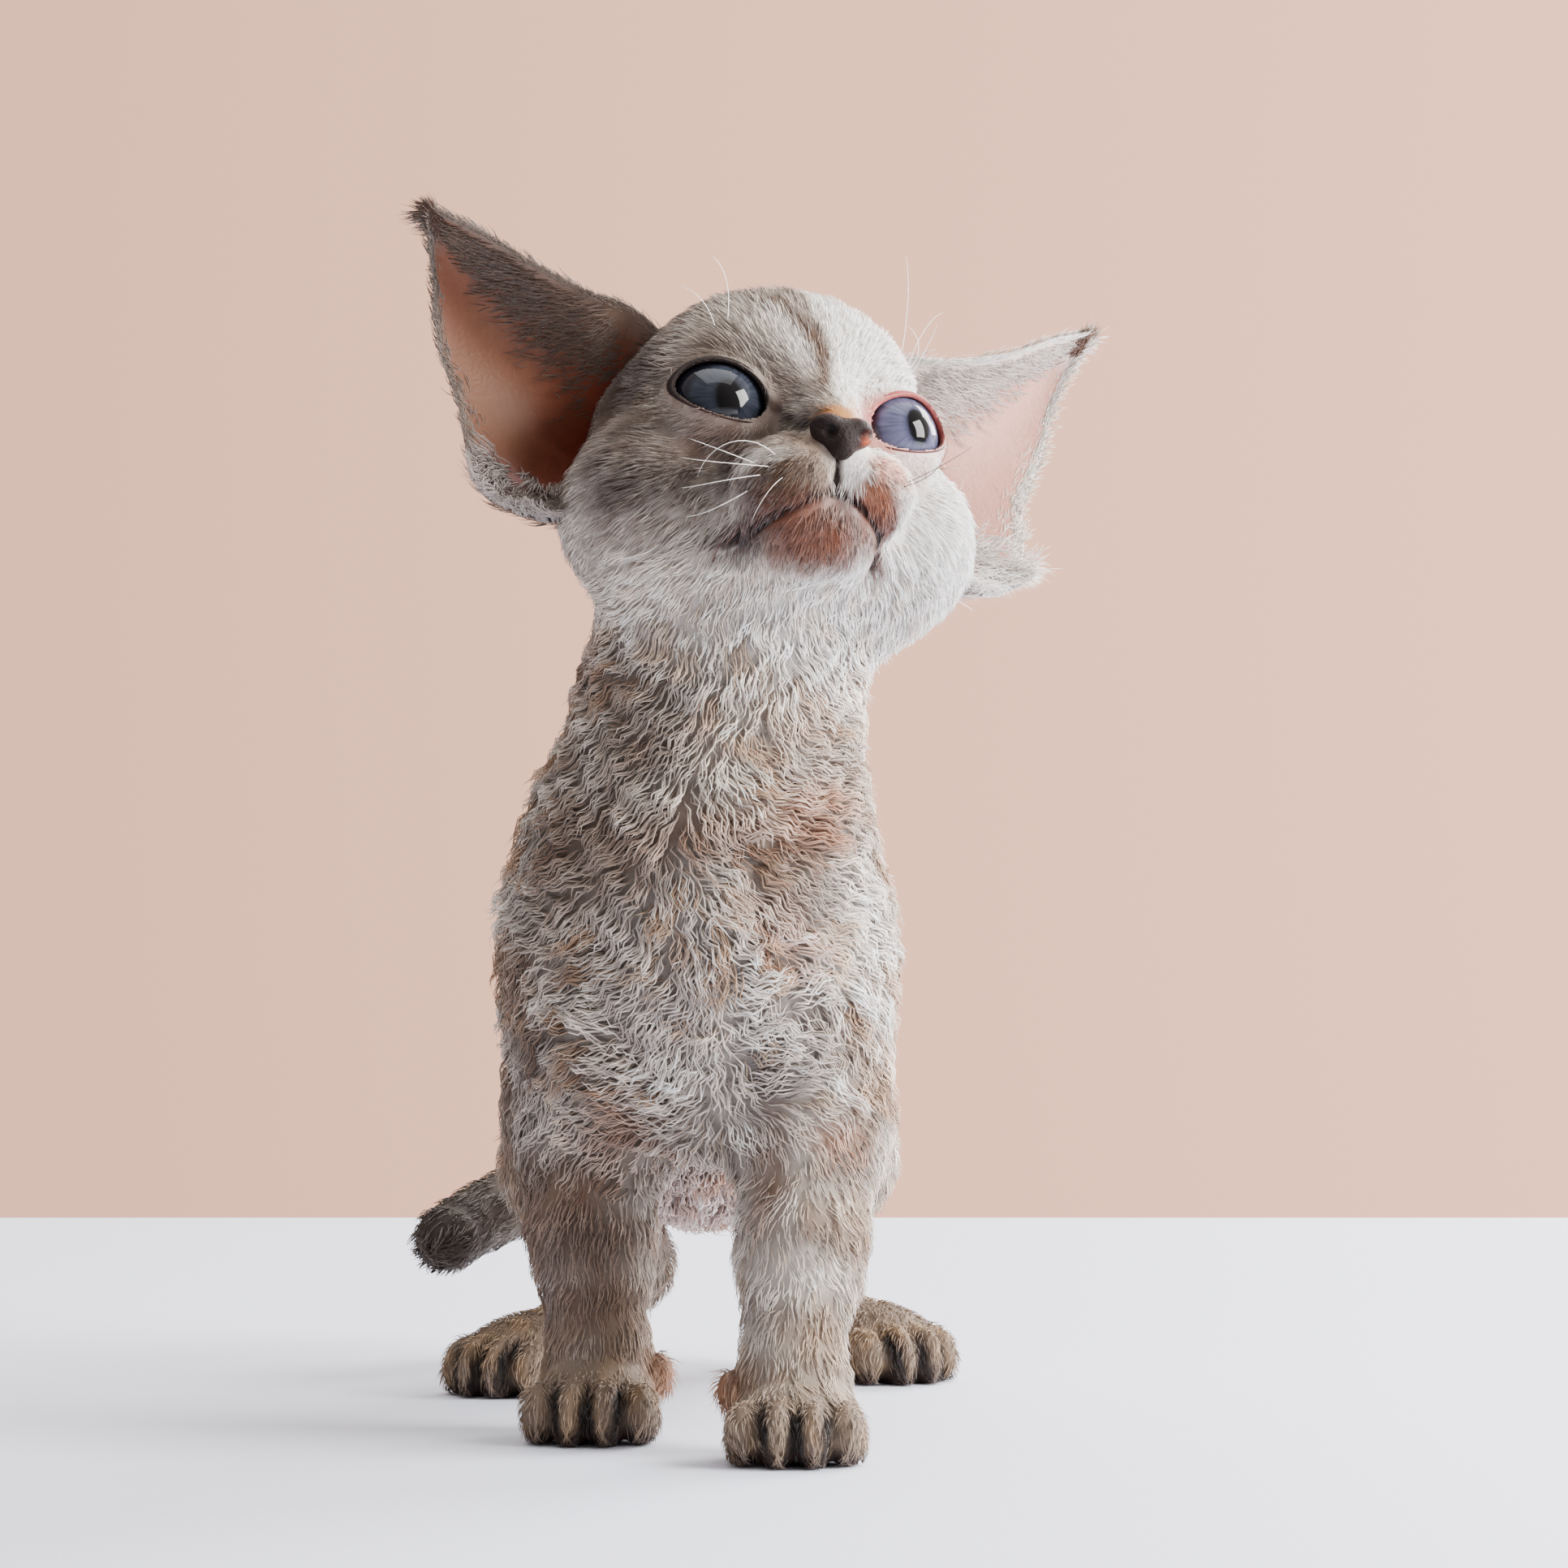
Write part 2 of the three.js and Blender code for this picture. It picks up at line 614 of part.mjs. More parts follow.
function earSolid(side) {
  const grid = [];
  const step = 0.02;
  for (let j = 0; j <= EAR_ALONG; j++)
    for (let i = 0; i <= EAR_ACROSS; i++) {
      const u = i / EAR_ACROSS;
      const v = j / EAR_ALONG;
      const p = earPoint(side, u, v);
      const du = earPoint(side, Math.min(u + step, 1), v).sub(earPoint(side, Math.max(u - step, 0), v));
      const dv = earPoint(side, u, Math.min(v + step, 1)).sub(earPoint(side, u, Math.max(v - step, 0)));
      const inwards = du.cross(dv).normalize().multiplyScalar(side);
      const thin = 0.45 + 0.55 * Math.sqrt(Math.sin(Math.PI * u) * Math.min(1, 3 * (1 - v)));
      grid.push([p, p.clone().addScaledVector(inwards, EAR_THICKNESS * thin)]);
    }
  const at = (i, j, layer) => 2 * (j * (EAR_ACROSS + 1) + i) + layer;
  const triangles = [];
  const quad = (a, b, c, d) => triangles.push(a, b, c, a, c, d);
  for (let j = 0; j < EAR_ALONG; j++) {
    for (let i = 0; i < EAR_ACROSS; i++) {
      quad(at(i, j, 1), at(i + 1, j, 1), at(i + 1, j + 1, 1), at(i, j + 1, 1));
      triangles.push(at(i, j, 0), at(i + 1, j + 1, 0), at(i + 1, j, 0));
      triangles.push(at(i, j, 0), at(i, j + 1, 0), at(i + 1, j + 1, 0));
    }
    quad(at(0, j, 0), at(0, j, 1), at(0, j + 1, 1), at(0, j + 1, 0));
    const last = EAR_ACROSS;
    quad(at(last, j, 1), at(last, j, 0), at(last, j + 1, 0), at(last, j + 1, 1));
  }
  for (let i = 0; i < EAR_ACROSS; i++) {
    quad(at(i, 0, 0), at(i + 1, 0, 0), at(i + 1, 0, 1), at(i, 0, 1));
    const top = EAR_ALONG;
    quad(at(i, top, 1), at(i + 1, top, 1), at(i + 1, top, 0), at(i, top, 0));
  }
  if (side < 0) triangles.reverse();
  return solidOf(grid.flat().flatMap((p) => p.toArray()), triangles);
}

// The tail leaves the rump, swings to the right and comes round beside the leg.
const tailPath = new THREE.CatmullRomCurve3(
  [[0, 128, 52], [-2, 146, 45], [-12, 157, 36], [-26, 155, 29], [-38, 144, 24], [-46, 130, 19.5]].map(vector),
);

function tailSolid() {
  const profile = [new THREE.Vector2(0, 0)];
  for (let i = 0; i <= TAIL_LENGTH_RINGS; i++) {
    const t = i / TAIL_LENGTH_RINGS;
    const round = Math.sqrt(Math.max(1 - Math.max(t - 0.93, 0) ** 2 / 0.0049, 0.05));
    profile.push(new THREE.Vector2((TAIL_RADIUS + (TAIL_TIP_RADIUS - TAIL_RADIUS) * t) * round, t));
  }
  profile.push(new THREE.Vector2(0, 1.01));
  const lathe = new THREE.LatheGeometry(profile, 12);
  const frames = tailPath.computeFrenetFrames(200);
  return solidOfGeometry(
    bent(lathe, (x, y, z) => {
      const t = Math.min(y, 1);
      const frame = Math.round(t * 200);
      return tailPath
        .getPointAt(t)
        .addScaledVector(frames.tangents[frame], (y - t) * 80)
        .addScaledVector(frames.normals[frame], x)
        .addScaledVector(frames.binormals[frame], -z);
    }),
  );
}

// The scene graph

const skinColour = { coat: 0xc9bcae, points: 0x8d7a6c, nose: 0x3a2f2c, eye: 0x4a5670, ear: 0xb98a78 };
const materials = Object.fromEntries(
  Object.entries(skinColour).map(([name, color]) => [
    name,
    new THREE.MeshStandardMaterial({ color, roughness: name === "eye" ? 0.05 : 0.8, metalness: 0 }),
  ]),
);

function add(group, name, solid, material) {
  const mesh = new THREE.Mesh(geometryOf(solid), materials[material]);
  mesh.name = name;
  group.add(mesh);
}

const kitten = new THREE.Group();
const body = new THREE.Group();
const head = new THREE.Group();
head.position.fromArray(HEAD_AT);
head.rotation.copy(headEuler);
body.add(head);
kitten.add(body);

// Head, with the pieces that it carries
add(head, "head", headSolid(), "coat");
add(head, "nose", noseSolid(), "nose");
const headRoom = surfaceOf(offset(headField, -GAP - 0.1), ...HEAD_BOX, HEAD_CELL);
for (const [name, side] of SIDES) {
  const eye = new THREE.SphereGeometry(EYE_RADIUS, 16, 10).translate(...mirrored(EYE_AT, side));
  add(head, "eye_" + name, solidOfGeometry(eye), "eye");
  add(head, "ear_" + name, largest(earSolid(side).subtract(headRoom)), "ear");
}

// Torso, neck, tail and legs
const bareCore = surfaceOf(coreField, ...BODY_BOX, CORE_CELL);
const draw = seeded(SEED);
const roots = clumpRoots(bareCore, draw);
const clumps = roots.map((root) => clump(root, draw));
const core = wasm.Manifold.union([bareCore, ...clumps]);
const onThighs = clumps.filter((_, i) => roots[i][1] > 60 && roots[i][2] < 75);
const tailRoom = surfaceOf(offset(fleshField, -GAP - 0.1), ...BODY_BOX, CORE_CELL);
const limbs = surfaceOf(coreField, [-44, -16, -6], [44, 146, 80], LIMB_CELL);
const hindquarters = wasm.Manifold.union([limbs, ...onThighs]);
const parts = {
  neck: beyond(beyond(core, neckBase), flipped(neckTop)),
  torso: beyond(core, flipped(neckBase)),
  tail: tailSolid().subtract(tailRoom),
};

for (const [name, side] of SIDES) {
  const planes = legPlanes(name, side);
  const foreBlock = (grown) => blockUnder(planes.elbow, 30, 46, 90, grown);
  const thighBlock = (grown) => blockUnder(planes.hip, 90, 84, 60, grown);
  const paws = surfaceOf(
    blend(4, foreleg(name, side), pawField(FOREPAWS[name], side, true)),
    [FOREPAWS[name].at[0] - 18, FOREPAWS[name].at[1] - 18, -4.1],
    [FOREPAWS[name].at[0] + 18, FOREPAWS[name].at[1] + 22, 24],
    PAW_CELL,
  );
  parts.torso = parts.torso.subtract(foreBlock(GAP / 2)).subtract(thighBlock(GAP / 2));
  parts["foreleg_" + name] = beyond(limbs.intersect(foreBlock(-GAP / 2)), planes.wrist);
  const onFloor = (solid) => solid.trimByPlane([0, 0, 1], 0);
  parts["forepaw_" + name] = onFloor(beyond(paws, flipped(planes.wrist)));
  parts["thigh_" + name] = beyond(hindquarters.intersect(thighBlock(-GAP / 2)), planes.shank);
  const aboveShank = blockUnder(flipped(planes.shank), 36, 36, 40, GAP / 2);
  const [footX, footY] = HINDPAWS[name].at;
  const lowerLeg = (cell, top, grown = 0) =>
    surfaceOf(
      offset(hindlegs[name].lower, -grown),
      [footX - 26, footY - 24, -4.1],
      [footX + 26, footY + 38, top],
      cell,
    );
  parts.torso = parts.torso.subtract(lowerLeg(HOCK_CELL, 50, GAP + 0.1));
  parts["hock_" + name] = beyond(lowerLeg(HOCK_CELL, 50).subtract(aboveShank), planes.ankle);
  parts["hindpaw_" + name] = onFloor(beyond(lowerLeg(PAW_CELL, 30), flipped(planes.ankle)));
}

for (const [name, solid] of Object.entries(parts)) add(body, name, largest(solid), "coat");

// The origin is on the floor under the middle of the whole kitten.
kitten.updateMatrixWorld(true);
const middle = new THREE.Box3().setFromObject(kitten, true).getCenter(new THREE.Vector3());
body.position.set(-middle.x, -middle.y, 0);

export default kitten;
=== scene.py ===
"""A Devon Rex kitten, life size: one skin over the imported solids, with its coat, eyes, nose and ears."""
import math

import bmesh
import bpy
import numpy as np
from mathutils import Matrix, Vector
from mathutils.kdtree import KDTree


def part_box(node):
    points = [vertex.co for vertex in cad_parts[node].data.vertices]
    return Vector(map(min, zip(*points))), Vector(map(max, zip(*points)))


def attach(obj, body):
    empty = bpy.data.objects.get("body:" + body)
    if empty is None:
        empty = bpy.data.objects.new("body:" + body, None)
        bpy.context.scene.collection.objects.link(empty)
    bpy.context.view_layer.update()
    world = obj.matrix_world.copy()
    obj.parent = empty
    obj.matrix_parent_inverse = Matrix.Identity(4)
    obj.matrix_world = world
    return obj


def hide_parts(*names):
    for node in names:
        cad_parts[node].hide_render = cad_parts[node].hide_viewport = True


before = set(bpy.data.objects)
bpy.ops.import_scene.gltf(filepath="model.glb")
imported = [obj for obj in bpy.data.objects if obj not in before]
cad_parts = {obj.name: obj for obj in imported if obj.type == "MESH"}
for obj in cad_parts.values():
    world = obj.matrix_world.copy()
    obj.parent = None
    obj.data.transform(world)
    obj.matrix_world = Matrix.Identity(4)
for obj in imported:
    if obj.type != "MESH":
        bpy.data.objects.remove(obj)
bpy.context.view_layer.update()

MM = 0.001
SEED = 7

# The solids' sizes in millimetres, in the kitten's own frame: it faces -Y and its left side is +X
BODY_HALF_WIDTH = 27.5
CHEST_HEIGHT = 71
CHEST_DEPTH = 34
BELLY_HEIGHT = 55
RUMP_HEIGHT = 54
NECK_RADIUS = 21.5
ELBOW_HEIGHT = 47
HOCK_HEIGHT = 18.5
TAIL_RADIUS = 8.8
TAIL_TIP_RADIUS = 6.4
HEAD_AT = np.array([10.5, 24, 143.5])
HEAD_YAW, HEAD_PITCH, HEAD_ROLL = 22, 18, 9
EYE_RADIUS = 7.6
EYE_AT = np.array([13.3, -14.2, 0.7])
EYE_TURN_OUT = 13
EYE_OPENING = (6.3, 4.3)
LID_THICKNESS = 1.2
LID_SLANT = 0.16
SIDES = (("left", 1), ("right", -1))
FOREPAWS = {"left": ((14.6, -1), 0), "right": ((-15, 26), -4)}
HINDPAWS = {"left": ((28.8, 112), 30), "right": ((-29, 92), -30)}
HINDPAW_SCALE = 0.92
# How far across and ahead each toe is, and its half length and half height
TOES = ((-7.4, -6.2, 5.4, 5.3), (-2.6, -8.6, 5.9, 5.8), (2.6, -8.6, 5.9, 5.8), (7.4, -6.2, 5.4, 5.3))
TAIL_PATH = [[0, 128, 52], [-2, 146, 45], [-12, 157, 36], [-26, 155, 29], [-38, 144, 24], [-46, 130, 19.5]]
EAR_INNER_EDGE = [[13, 3, 18], [21, 1, 22.5], [29, -1, 23], [37, -1.5, 25.4], [45.5, 1, 30.4], [52, 4, 33.6]]
EAR_OUTER_EDGE = [
    [25, 1, -14],
    [34.5, 3, -14.2],
    [41.5, 5.5, -10.8],
    [44.3, 7, -4],
    [45.4, 10, 5.4],
    [48.5, 11, 14.2],
    [50.4, 9.6, 24.5],
    [52.8, 5, 32.4],
]

# The skin and its coat
SKIN_CELL = 1.2
STRANDS = 1.0
rng = np.random.default_rng(SEED)


def turned(axis, degrees):
    c, s = math.cos(math.radians(degrees)), math.sin(math.radians(degrees))
    return np.array({"x": [[1, 0, 0], [0, c, -s], [0, s, c]], "y": [[c, 0, s], [0, 1, 0], [-s, 0, c]],
                     "z": [[c, -s, 0], [s, c, 0], [0, 0, 1]]}[axis])


HEAD_TURN = turned("z", HEAD_YAW) @ turned("x", -HEAD_PITCH) @ turned("y", HEAD_ROLL)


def to_head(p):
    return (p - HEAD_AT) @ HEAD_TURN


def from_head(p):
    return np.asarray(p) @ HEAD_TURN.T + HEAD_AT


def flip(p, side):
    return np.asarray(p, float) * [side, 1, 1]


# Distance fields of arrays of points: negative inside

def ball(centre, radii):
    centre, radii = np.asarray(centre, float), np.asarray(radii, float)

    def field(p):
        u = (p - centre) / radii
        near = np.sqrt((u * u).sum(1)) + 1e-6
        v = u / radii
        return near * (near - 1) / np.maximum(np.sqrt((v * v).sum(1)), 1e-7)

    return field


def limb(a, b, ra, rb):
    a, b = np.asarray(a, float), np.asarray(b, float)
    along = b - a
    squared = along @ along
    fall = ra - rb
    rest = squared - fall * fall

    def field(p):
        q = p - a
        t = q @ along
        side = ((q * squared - t[:, None] * along) ** 2).sum(1)
        past = t - squared
        k = np.sign(fall) * fall * fall * side
        middle = (np.sqrt(side * rest / squared) + t * fall) / squared - ra
        low = np.sqrt(side + t * t * squared) / squared - ra
        high = np.sqrt(side + past * past * squared) / squared - rb
        out = np.where(np.sign(t) * rest * t * t * squared < k, low, middle)
        return np.where(np.sign(past) * rest * past * past * squared > k, high, out)

    return field


def blend(k, *fields):
    def field(p):
        d = fields[0](p)
        for other in fields[1:]:
            e = other(p)
            h = np.maximum(k - np.abs(d - e), 0) / k
            d = np.minimum(d, e) - h * h * k / 4
        return d

    return field


def mix(a, b, t):
    return np.asarray(a, float) + (np.asarray(b, float) - np.asarray(a, float)) * t


CORNERS_OF_FOUR = np.array([[1, 1, 1], [1, -1, -1], [-1, 1, -1], [-1, -1, 1]])


def slope_of(field, p, step=0.12):
    return sum(field(p + step * corner)[:, None] * corner for corner in CORNERS_OF_FOUR) / (4 * step)


def unit(v):
    return v / np.maximum(np.linalg.norm(v, axis=-1, keepdims=True), 1e-9)


def smooth(low, high, v):
    t = np.clip((v - low) / (high - low), 0, 1)
    return t * t * (3 - 2 * t)


def curve_point(points, t):
    """A point of the centripetal Catmull-Rom curve through points."""
    pts = np.asarray(points, float)
    last = len(pts) - 1
    i = min(int(t * last), last - 1)
    w = t * last - i
    p1, p2 = pts[i], pts[i + 1]
    p0 = pts[i - 1] if i > 0 else 2 * pts[0] - pts[1]
    p3 = pts[i + 2] if i + 2 <= last else 2 * pts[last] - pts[last - 1]
    d0, d1, d2 = (math.sqrt(np.linalg.norm(b - a)) for a, b in ((p0, p1), (p1, p2), (p2, p3)))
    m1 = ((p1 - p0) / d0 - (p2 - p0) / (d0 + d1) + (p2 - p1) / d1) * d1
    m2 = ((p2 - p1) / d1 - (p3 - p1) / (d1 + d2) + (p3 - p2) / d2) * d1
    return p1 + m1 * w + (3 * (p2 - p1) - 2 * m1 - m2) * w * w + (2 * (p1 - p2) + m1 + m2) * w ** 3


# Flesh of the body

def foreleg(name, side):
    at = FOREPAWS[name][0]
    elbow = np.array([side * 17, at[1] + (8 if at[1] > 10 else 16) + 6, ELBOW_HEIGHT])
    wrist = np.array([at[0] - side * 0.4, at[1] + 6, 14])
    return blend(
        6,
        limb([side * 14.5, 30, 74], elbow, 14, 12),
        limb(elbow, mix(elbow, wrist, 0.55), 12, 9.4),
        limb(mix(elbow, wrist, 0.5), wrist, 9.4, 8.6),
    )


def paw_place(p, paw):
    (x, y), turn = paw
    c, s = math.cos(math.radians(turn)), math.sin(math.radians(turn))
    d = p - [x, y, 0]
    return np.stack([c * d[:, 0] + s * d[:, 1], -s * d[:, 0] + c * d[:, 1], d[:, 2]], 1)


def paw_field(paw, side, is_fore):
    scale = 1 if is_fore else HINDPAW_SCALE
    instep = 9 if is_fore else 6
    toes = [ball([x * scale, y, 4.1], [3.15 * scale, long, high]) for x, y, long, high in TOES]
    heel = ball([0, 5, instep], [8.4 * scale, 8, instep - 0.5])
    palm = blend(4, ball([0, 0, 5.6], [9.6 * scale, 9.5, 6.8]), heel)
    dew = [ball([-side * 9.4, 4.5, 9.5], [2.6, 3.2, 3.6])] if is_fore else []
    local = blend(2.4, *toes, palm, *dew)
    return lambda p: local(paw_place(p, paw))


def hindleg(name, side):
    at = HINDPAWS[name][0]
    hock = [side * 12.5, at[1] + 21, HOCK_HEIGHT]
    knee = [side * 19.5, at[1] - 20, 38]
    toes = [at[0] - side * 4, at[1] + 6, 6.3]
    shank = limb(knee, hock, 11.5, 7)
    return (
        blend(4, limb([side * 11, 113, 54], knee, 17.5, 12), shank),
        blend(4, shank, limb(hock, toes, 7, 5.6), paw_field(HINDPAWS[name], side, False)),
    )


forelegs = {name: foreleg(name, side) for name, side in SIDES}
forepaws = {name: paw_field(FOREPAWS[name], side, True) for name, side in SIDES}
hindlegs = {name: hindleg(name, side) for name, side in SIDES}
trunk = blend(
    12,
    ball([0, 50, CHEST_HEIGHT], [BODY_HALF_WIDTH - 1, 38, CHEST_DEPTH]),
    ball([0, 25, CHEST_HEIGHT + 3], [BODY_HALF_WIDTH - 3, 25, CHEST_DEPTH - 2]),
    ball([0, 80, BELLY_HEIGHT], [BODY_HALF_WIDTH - 4, 40, 29]),
    ball([0, 112, RUMP_HEIGHT], [BODY_HALF_WIDTH - 6, 26, 24]),
)
shoulders = blend(8, ball([14, 26, 70], [13.5, 20, 30]), ball([-14.5, 32, 70], [13.5, 20, 30]))
neck_limb = limb([0.5, 28, 90], [6.6, 30, 126], NECK_RADIUS + 3, NECK_RADIUS)
upright = blend(
    8,
    blend(9, trunk, shoulders, neck_limb),
    blend(1.5, *forelegs.values(), *(upper for upper, _ in hindlegs.values())),
)
tail_points = [curve_point(TAIL_PATH, t) for t in np.linspace(0, 1, 15)]
tail_radii = np.linspace(TAIL_RADIUS, TAIL_TIP_RADIUS, 15)
tail_points[-1] = mix(tail_points[-1], tail_points[-2], 0.9)
tail = blend(1.5, *(limb(a, b, ra - 0.01, rb) for a, b, ra, rb in
                    zip(tail_points, tail_points[1:], tail_radii, tail_radii[1:])))

# Flesh of the head, in its own frame
skull = blend(
    7,
    ball([0, 7, 4], [25.5, 26, 21]),
    ball([0, -6, 11], [20, 15, 14.5]),
    ball([0, -6, -17], [16.5, 19, 9]),
    *(ball(flip([18.3, -1, -10.5], side), [14, 17, 14.5]) for _, side in SIDES),
)
muzzle = blend(
    4,
    ball([0, -19, -12], [12, 9, 9]),
    limb([0, -13, 7], [0, -27.5, -4.5], 7.5, 4.4),
    ball([0, -22.6, -20.8], [8, 6.6, 5]),
)
whisker_pads = blend(1.6, *(ball(flip([6.1, -25.2, -13], side), [7.2, 6.8, 6.3]) for _, side in SIDES))
lids = [ball(flip(EYE_AT, side), [EYE_RADIUS + LID_THICKNESS] * 3) for _, side in SIDES]
head_flesh = blend(3, blend(4, blend(6, skull, muzzle), whisker_pads), *lids)


def on_head(field):
    return lambda p: field(to_head(p))


whole = blend(
    5,
    blend(
        3,
        blend(9, on_head(head_flesh), upright),
        *forepaws.values(),
        *(lower for _, lower in hindlegs.values()),
    ),
    tail,
)

# The regions of the coat: the skin's depth below its outline, and its length, width, lift, curl and density
REGIONS = {
    "head": (on_head(skull), dict(depth=1.3, length=3.6, width=0.092, lift=0.5, curl=0.2, dense=3.1)),
    "muzzle": (
        on_head(blend(3, muzzle, whisker_pads)),
        dict(depth=0.5, length=2.4, width=0.086, lift=0.74, curl=0.03, dense=5),
    ),
    "ruff": (
        on_head(ball([0, 2, -22], [24, 24, 12])),
        dict(depth=2, length=6.4, width=0.15, lift=0.5, curl=0.6, dense=1.6),
    ),
    "neck": (neck_limb, dict(depth=2.5, length=7.4, width=0.18, lift=0.5, curl=1, dense=1.1)),
    "trunk": (
        blend(8, trunk, shoulders),
        dict(depth=2.5, length=8, width=0.195, lift=0.5, curl=1, dense=0.92),
    ),
    "thigh": (
        blend(4, *(upper for upper, _ in hindlegs.values())),
        dict(depth=2.4, length=6, width=0.195, lift=0.38, curl=0.85, dense=0.74),
    ),
    "foreleg": (
        blend(2, *forelegs.values()),
        dict(depth=1.6, length=4.6, width=0.14, lift=0.44, curl=0.5, dense=1.25),
    ),
    "foot": (
        blend(2, *forepaws.values(), *(lower for _, lower in hindlegs.values())),
        dict(depth=0.6, length=3.1, width=0.1, lift=0.52, curl=0.15, dense=2.4),
    ),
    "tail": (tail, dict(depth=1.6, length=4.2, width=0.14, lift=0.36, curl=0.3, dense=1.25)),
}
REGION_NAMES = list(REGIONS)


def region_weights(p):
    d = np.stack([field(p) for field, _ in REGIONS.values()], 1)
    w = np.exp(-np.clip(d + 2, 0, 60) / 2.6)
    return w / w.sum(1, keepdims=True)


def by_region(weights, key):
    return weights @ np.array([values[key] for _, values in REGIONS.values()])


# The eyes: the opening of the lids

def eye_frame(side):
    turn = math.radians(EYE_TURN_OUT)
    forward = unit(np.array([side * math.sin(turn), -math.cos(turn), 0.12]))
    outward = unit(np.cross([0, 0, 1], forward) * side)
    up = np.cross(forward, outward) * side
    return flip(EYE_AT, side), forward, outward, up


def almond(side, angle, radius, grow=1.0):
    """A ring of points at radius from the eye's middle, on the edge of its opening times grow."""
    centre, forward, outward, up = eye_frame(side)
    across = EYE_OPENING[0] * np.cos(angle) * grow
    high = EYE_OPENING[1] * np.sin(angle) * grow + LID_SLANT * across
    ahead = np.sqrt(np.maximum(EYE_RADIUS ** 2 - across ** 2 - high ** 2, 1))
    out = across[:, None] * outward + high[:, None] * up + ahead[:, None] * forward
    return centre + unit(out) * radius


def almond_reach(p_head, side):
    """0 at the middle of the eye's opening and 1 on its edge, and large elsewhere."""
    centre, forward, outward, up = eye_frame(side)
    d = p_head - centre
    across = d @ outward
    high = d @ up - LID_SLANT * across
    reach = np.hypot(across / EYE_OPENING[0], high / EYE_OPENING[1])
    return np.where(d @ forward > 1.5, reach, 9.0)


def nearest_reach(p_head):
    return np.minimum(almond_reach(p_head, 1), almond_reach(p_head, -1))


def face_bareness(p_head):
    """1 at the lids, the nose and the lips, where the coat is shortest, and 0 away from them."""
    eyes = 1 - smooth(1.0, 1.7, nearest_reach(p_head))
    nose = 1 - smooth(3.5, 6, np.linalg.norm(p_head - [0, -31, -7.5], axis=1))
    return np.maximum(eyes, nose)


def coat_depth(p):
    depth = by_region(region_weights(p), "depth")
    bare = face_bareness(to_head(p))
    return depth * (1 - bare) + 0.25 * bare


def skin_field(p):
    return whole(p) + coat_depth(p)


# Meshes

CORNERS = np.array([[c & 1, (c >> 1) & 1, c >> 2] for c in range(8)])
EDGES = [(i, i | bit) for i in range(8) for bit in (1, 2, 4) if not i & bit]


def surface_net(field, low, high, cell):
    """The surface where a field is zero, as quads: a vertex in each grid cell that it crosses."""
    low, high = np.asarray(low, float), np.asarray(high, float)
    n = np.ceil((high - low) / cell).astype(int) + 1
    skip = 5
    rough = [np.arange(0, k + skip, skip) for k in n]
    grid = np.stack(np.meshgrid(*rough, indexing="ij"), -1).reshape(-1, 3)
    far = field(low + grid * cell).reshape([len(r) for r in rough])
    pick = np.ix_(*(np.rint(np.arange(k) / skip).astype(int) for k in n))
    value = far[pick].copy()
    near = np.argwhere(np.abs(value) < 1.7 * skip * cell)
    value[tuple(near.T)] = field(low + near * cell)
    inside = value < 0
    at_corners = [inside[tuple(slice(c[a], n[a] - 1 + c[a]) for a in range(3))] for c in CORNERS]
    count = sum(here.astype(np.int8) for here in at_corners)
    cells = np.argwhere((count > 0) & (count < 8))
    corner = np.stack([value[tuple((cells + c).T)] for c in CORNERS], 1)
    total, times = np.zeros((len(cells), 3)), np.zeros(len(cells))
    for a, b in EDGES:
        va, vb = corner[:, a], corner[:, b]
        cross = (va < 0) != (vb < 0)
        t = np.where(cross, va / np.where(cross, va - vb, 1), 0)
        total += np.where(cross[:, None], CORNERS[a] + (CORNERS[b] - CORNERS[a]) * t[:, None], 0)
        times += cross
    points = low + (cells + total / times[:, None]) * cell
    ids = np.full(n, -1)
    ids[tuple(cells.T)] = np.arange(len(cells))
    quads = []
    for axis in range(3):
        u, v = (axis + 1) % 3, (axis + 2) % 3
        step = np.eye(3, dtype=int)
        first = inside[tuple(slice(0, n[a] - 1) if a == axis else slice(None) for a in range(3))]
        second = inside[tuple(slice(1, None) if a == axis else slice(None) for a in range(3))]
        at = np.argwhere(first != second)
        at = at[(at[:, u] > 0) & (at[:, v] > 0) & (at[:, u] < n[u] - 1) & (at[:, v] < n[v] - 1)]
        ring = [ids[tuple((at + move).T)] for move in (-step[u] - step[v], -step[v], 0 * step[u], -step[u])]
        quad = np.stack(ring, 1)
        flipped = ~first[tuple(at.T)]
        quad[flipped] = quad[flipped][:, ::-1]
        quads.append(quad)
    return points, np.concatenate(quads)


def drawn_on(field, p, most, rounds=3):
    for _ in range(rounds):
        slope = slope_of(field, p)
        move = -slope * (field(p) / np.maximum((slope ** 2).sum(1), 0.2))[:, None]
        length = np.linalg.norm(move, axis=1, keepdims=True)
        p = p + move * np.minimum(1, most / np.maximum(length, 1e-9))
    return p


# The kitten's own frame is moved so that the origin is under the middle of the box.
eye_middles = {name: np.mean(np.array(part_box("eye_" + name)[:2]), 0) for name, _ in SIDES}
SHIFT = np.mean([eye_middles[name] / MM - from_head(flip(EYE_AT, side)) for name, side in SIDES], 0)


def in_scene(p):
    return (np.asarray(p) + SHIFT) * MM


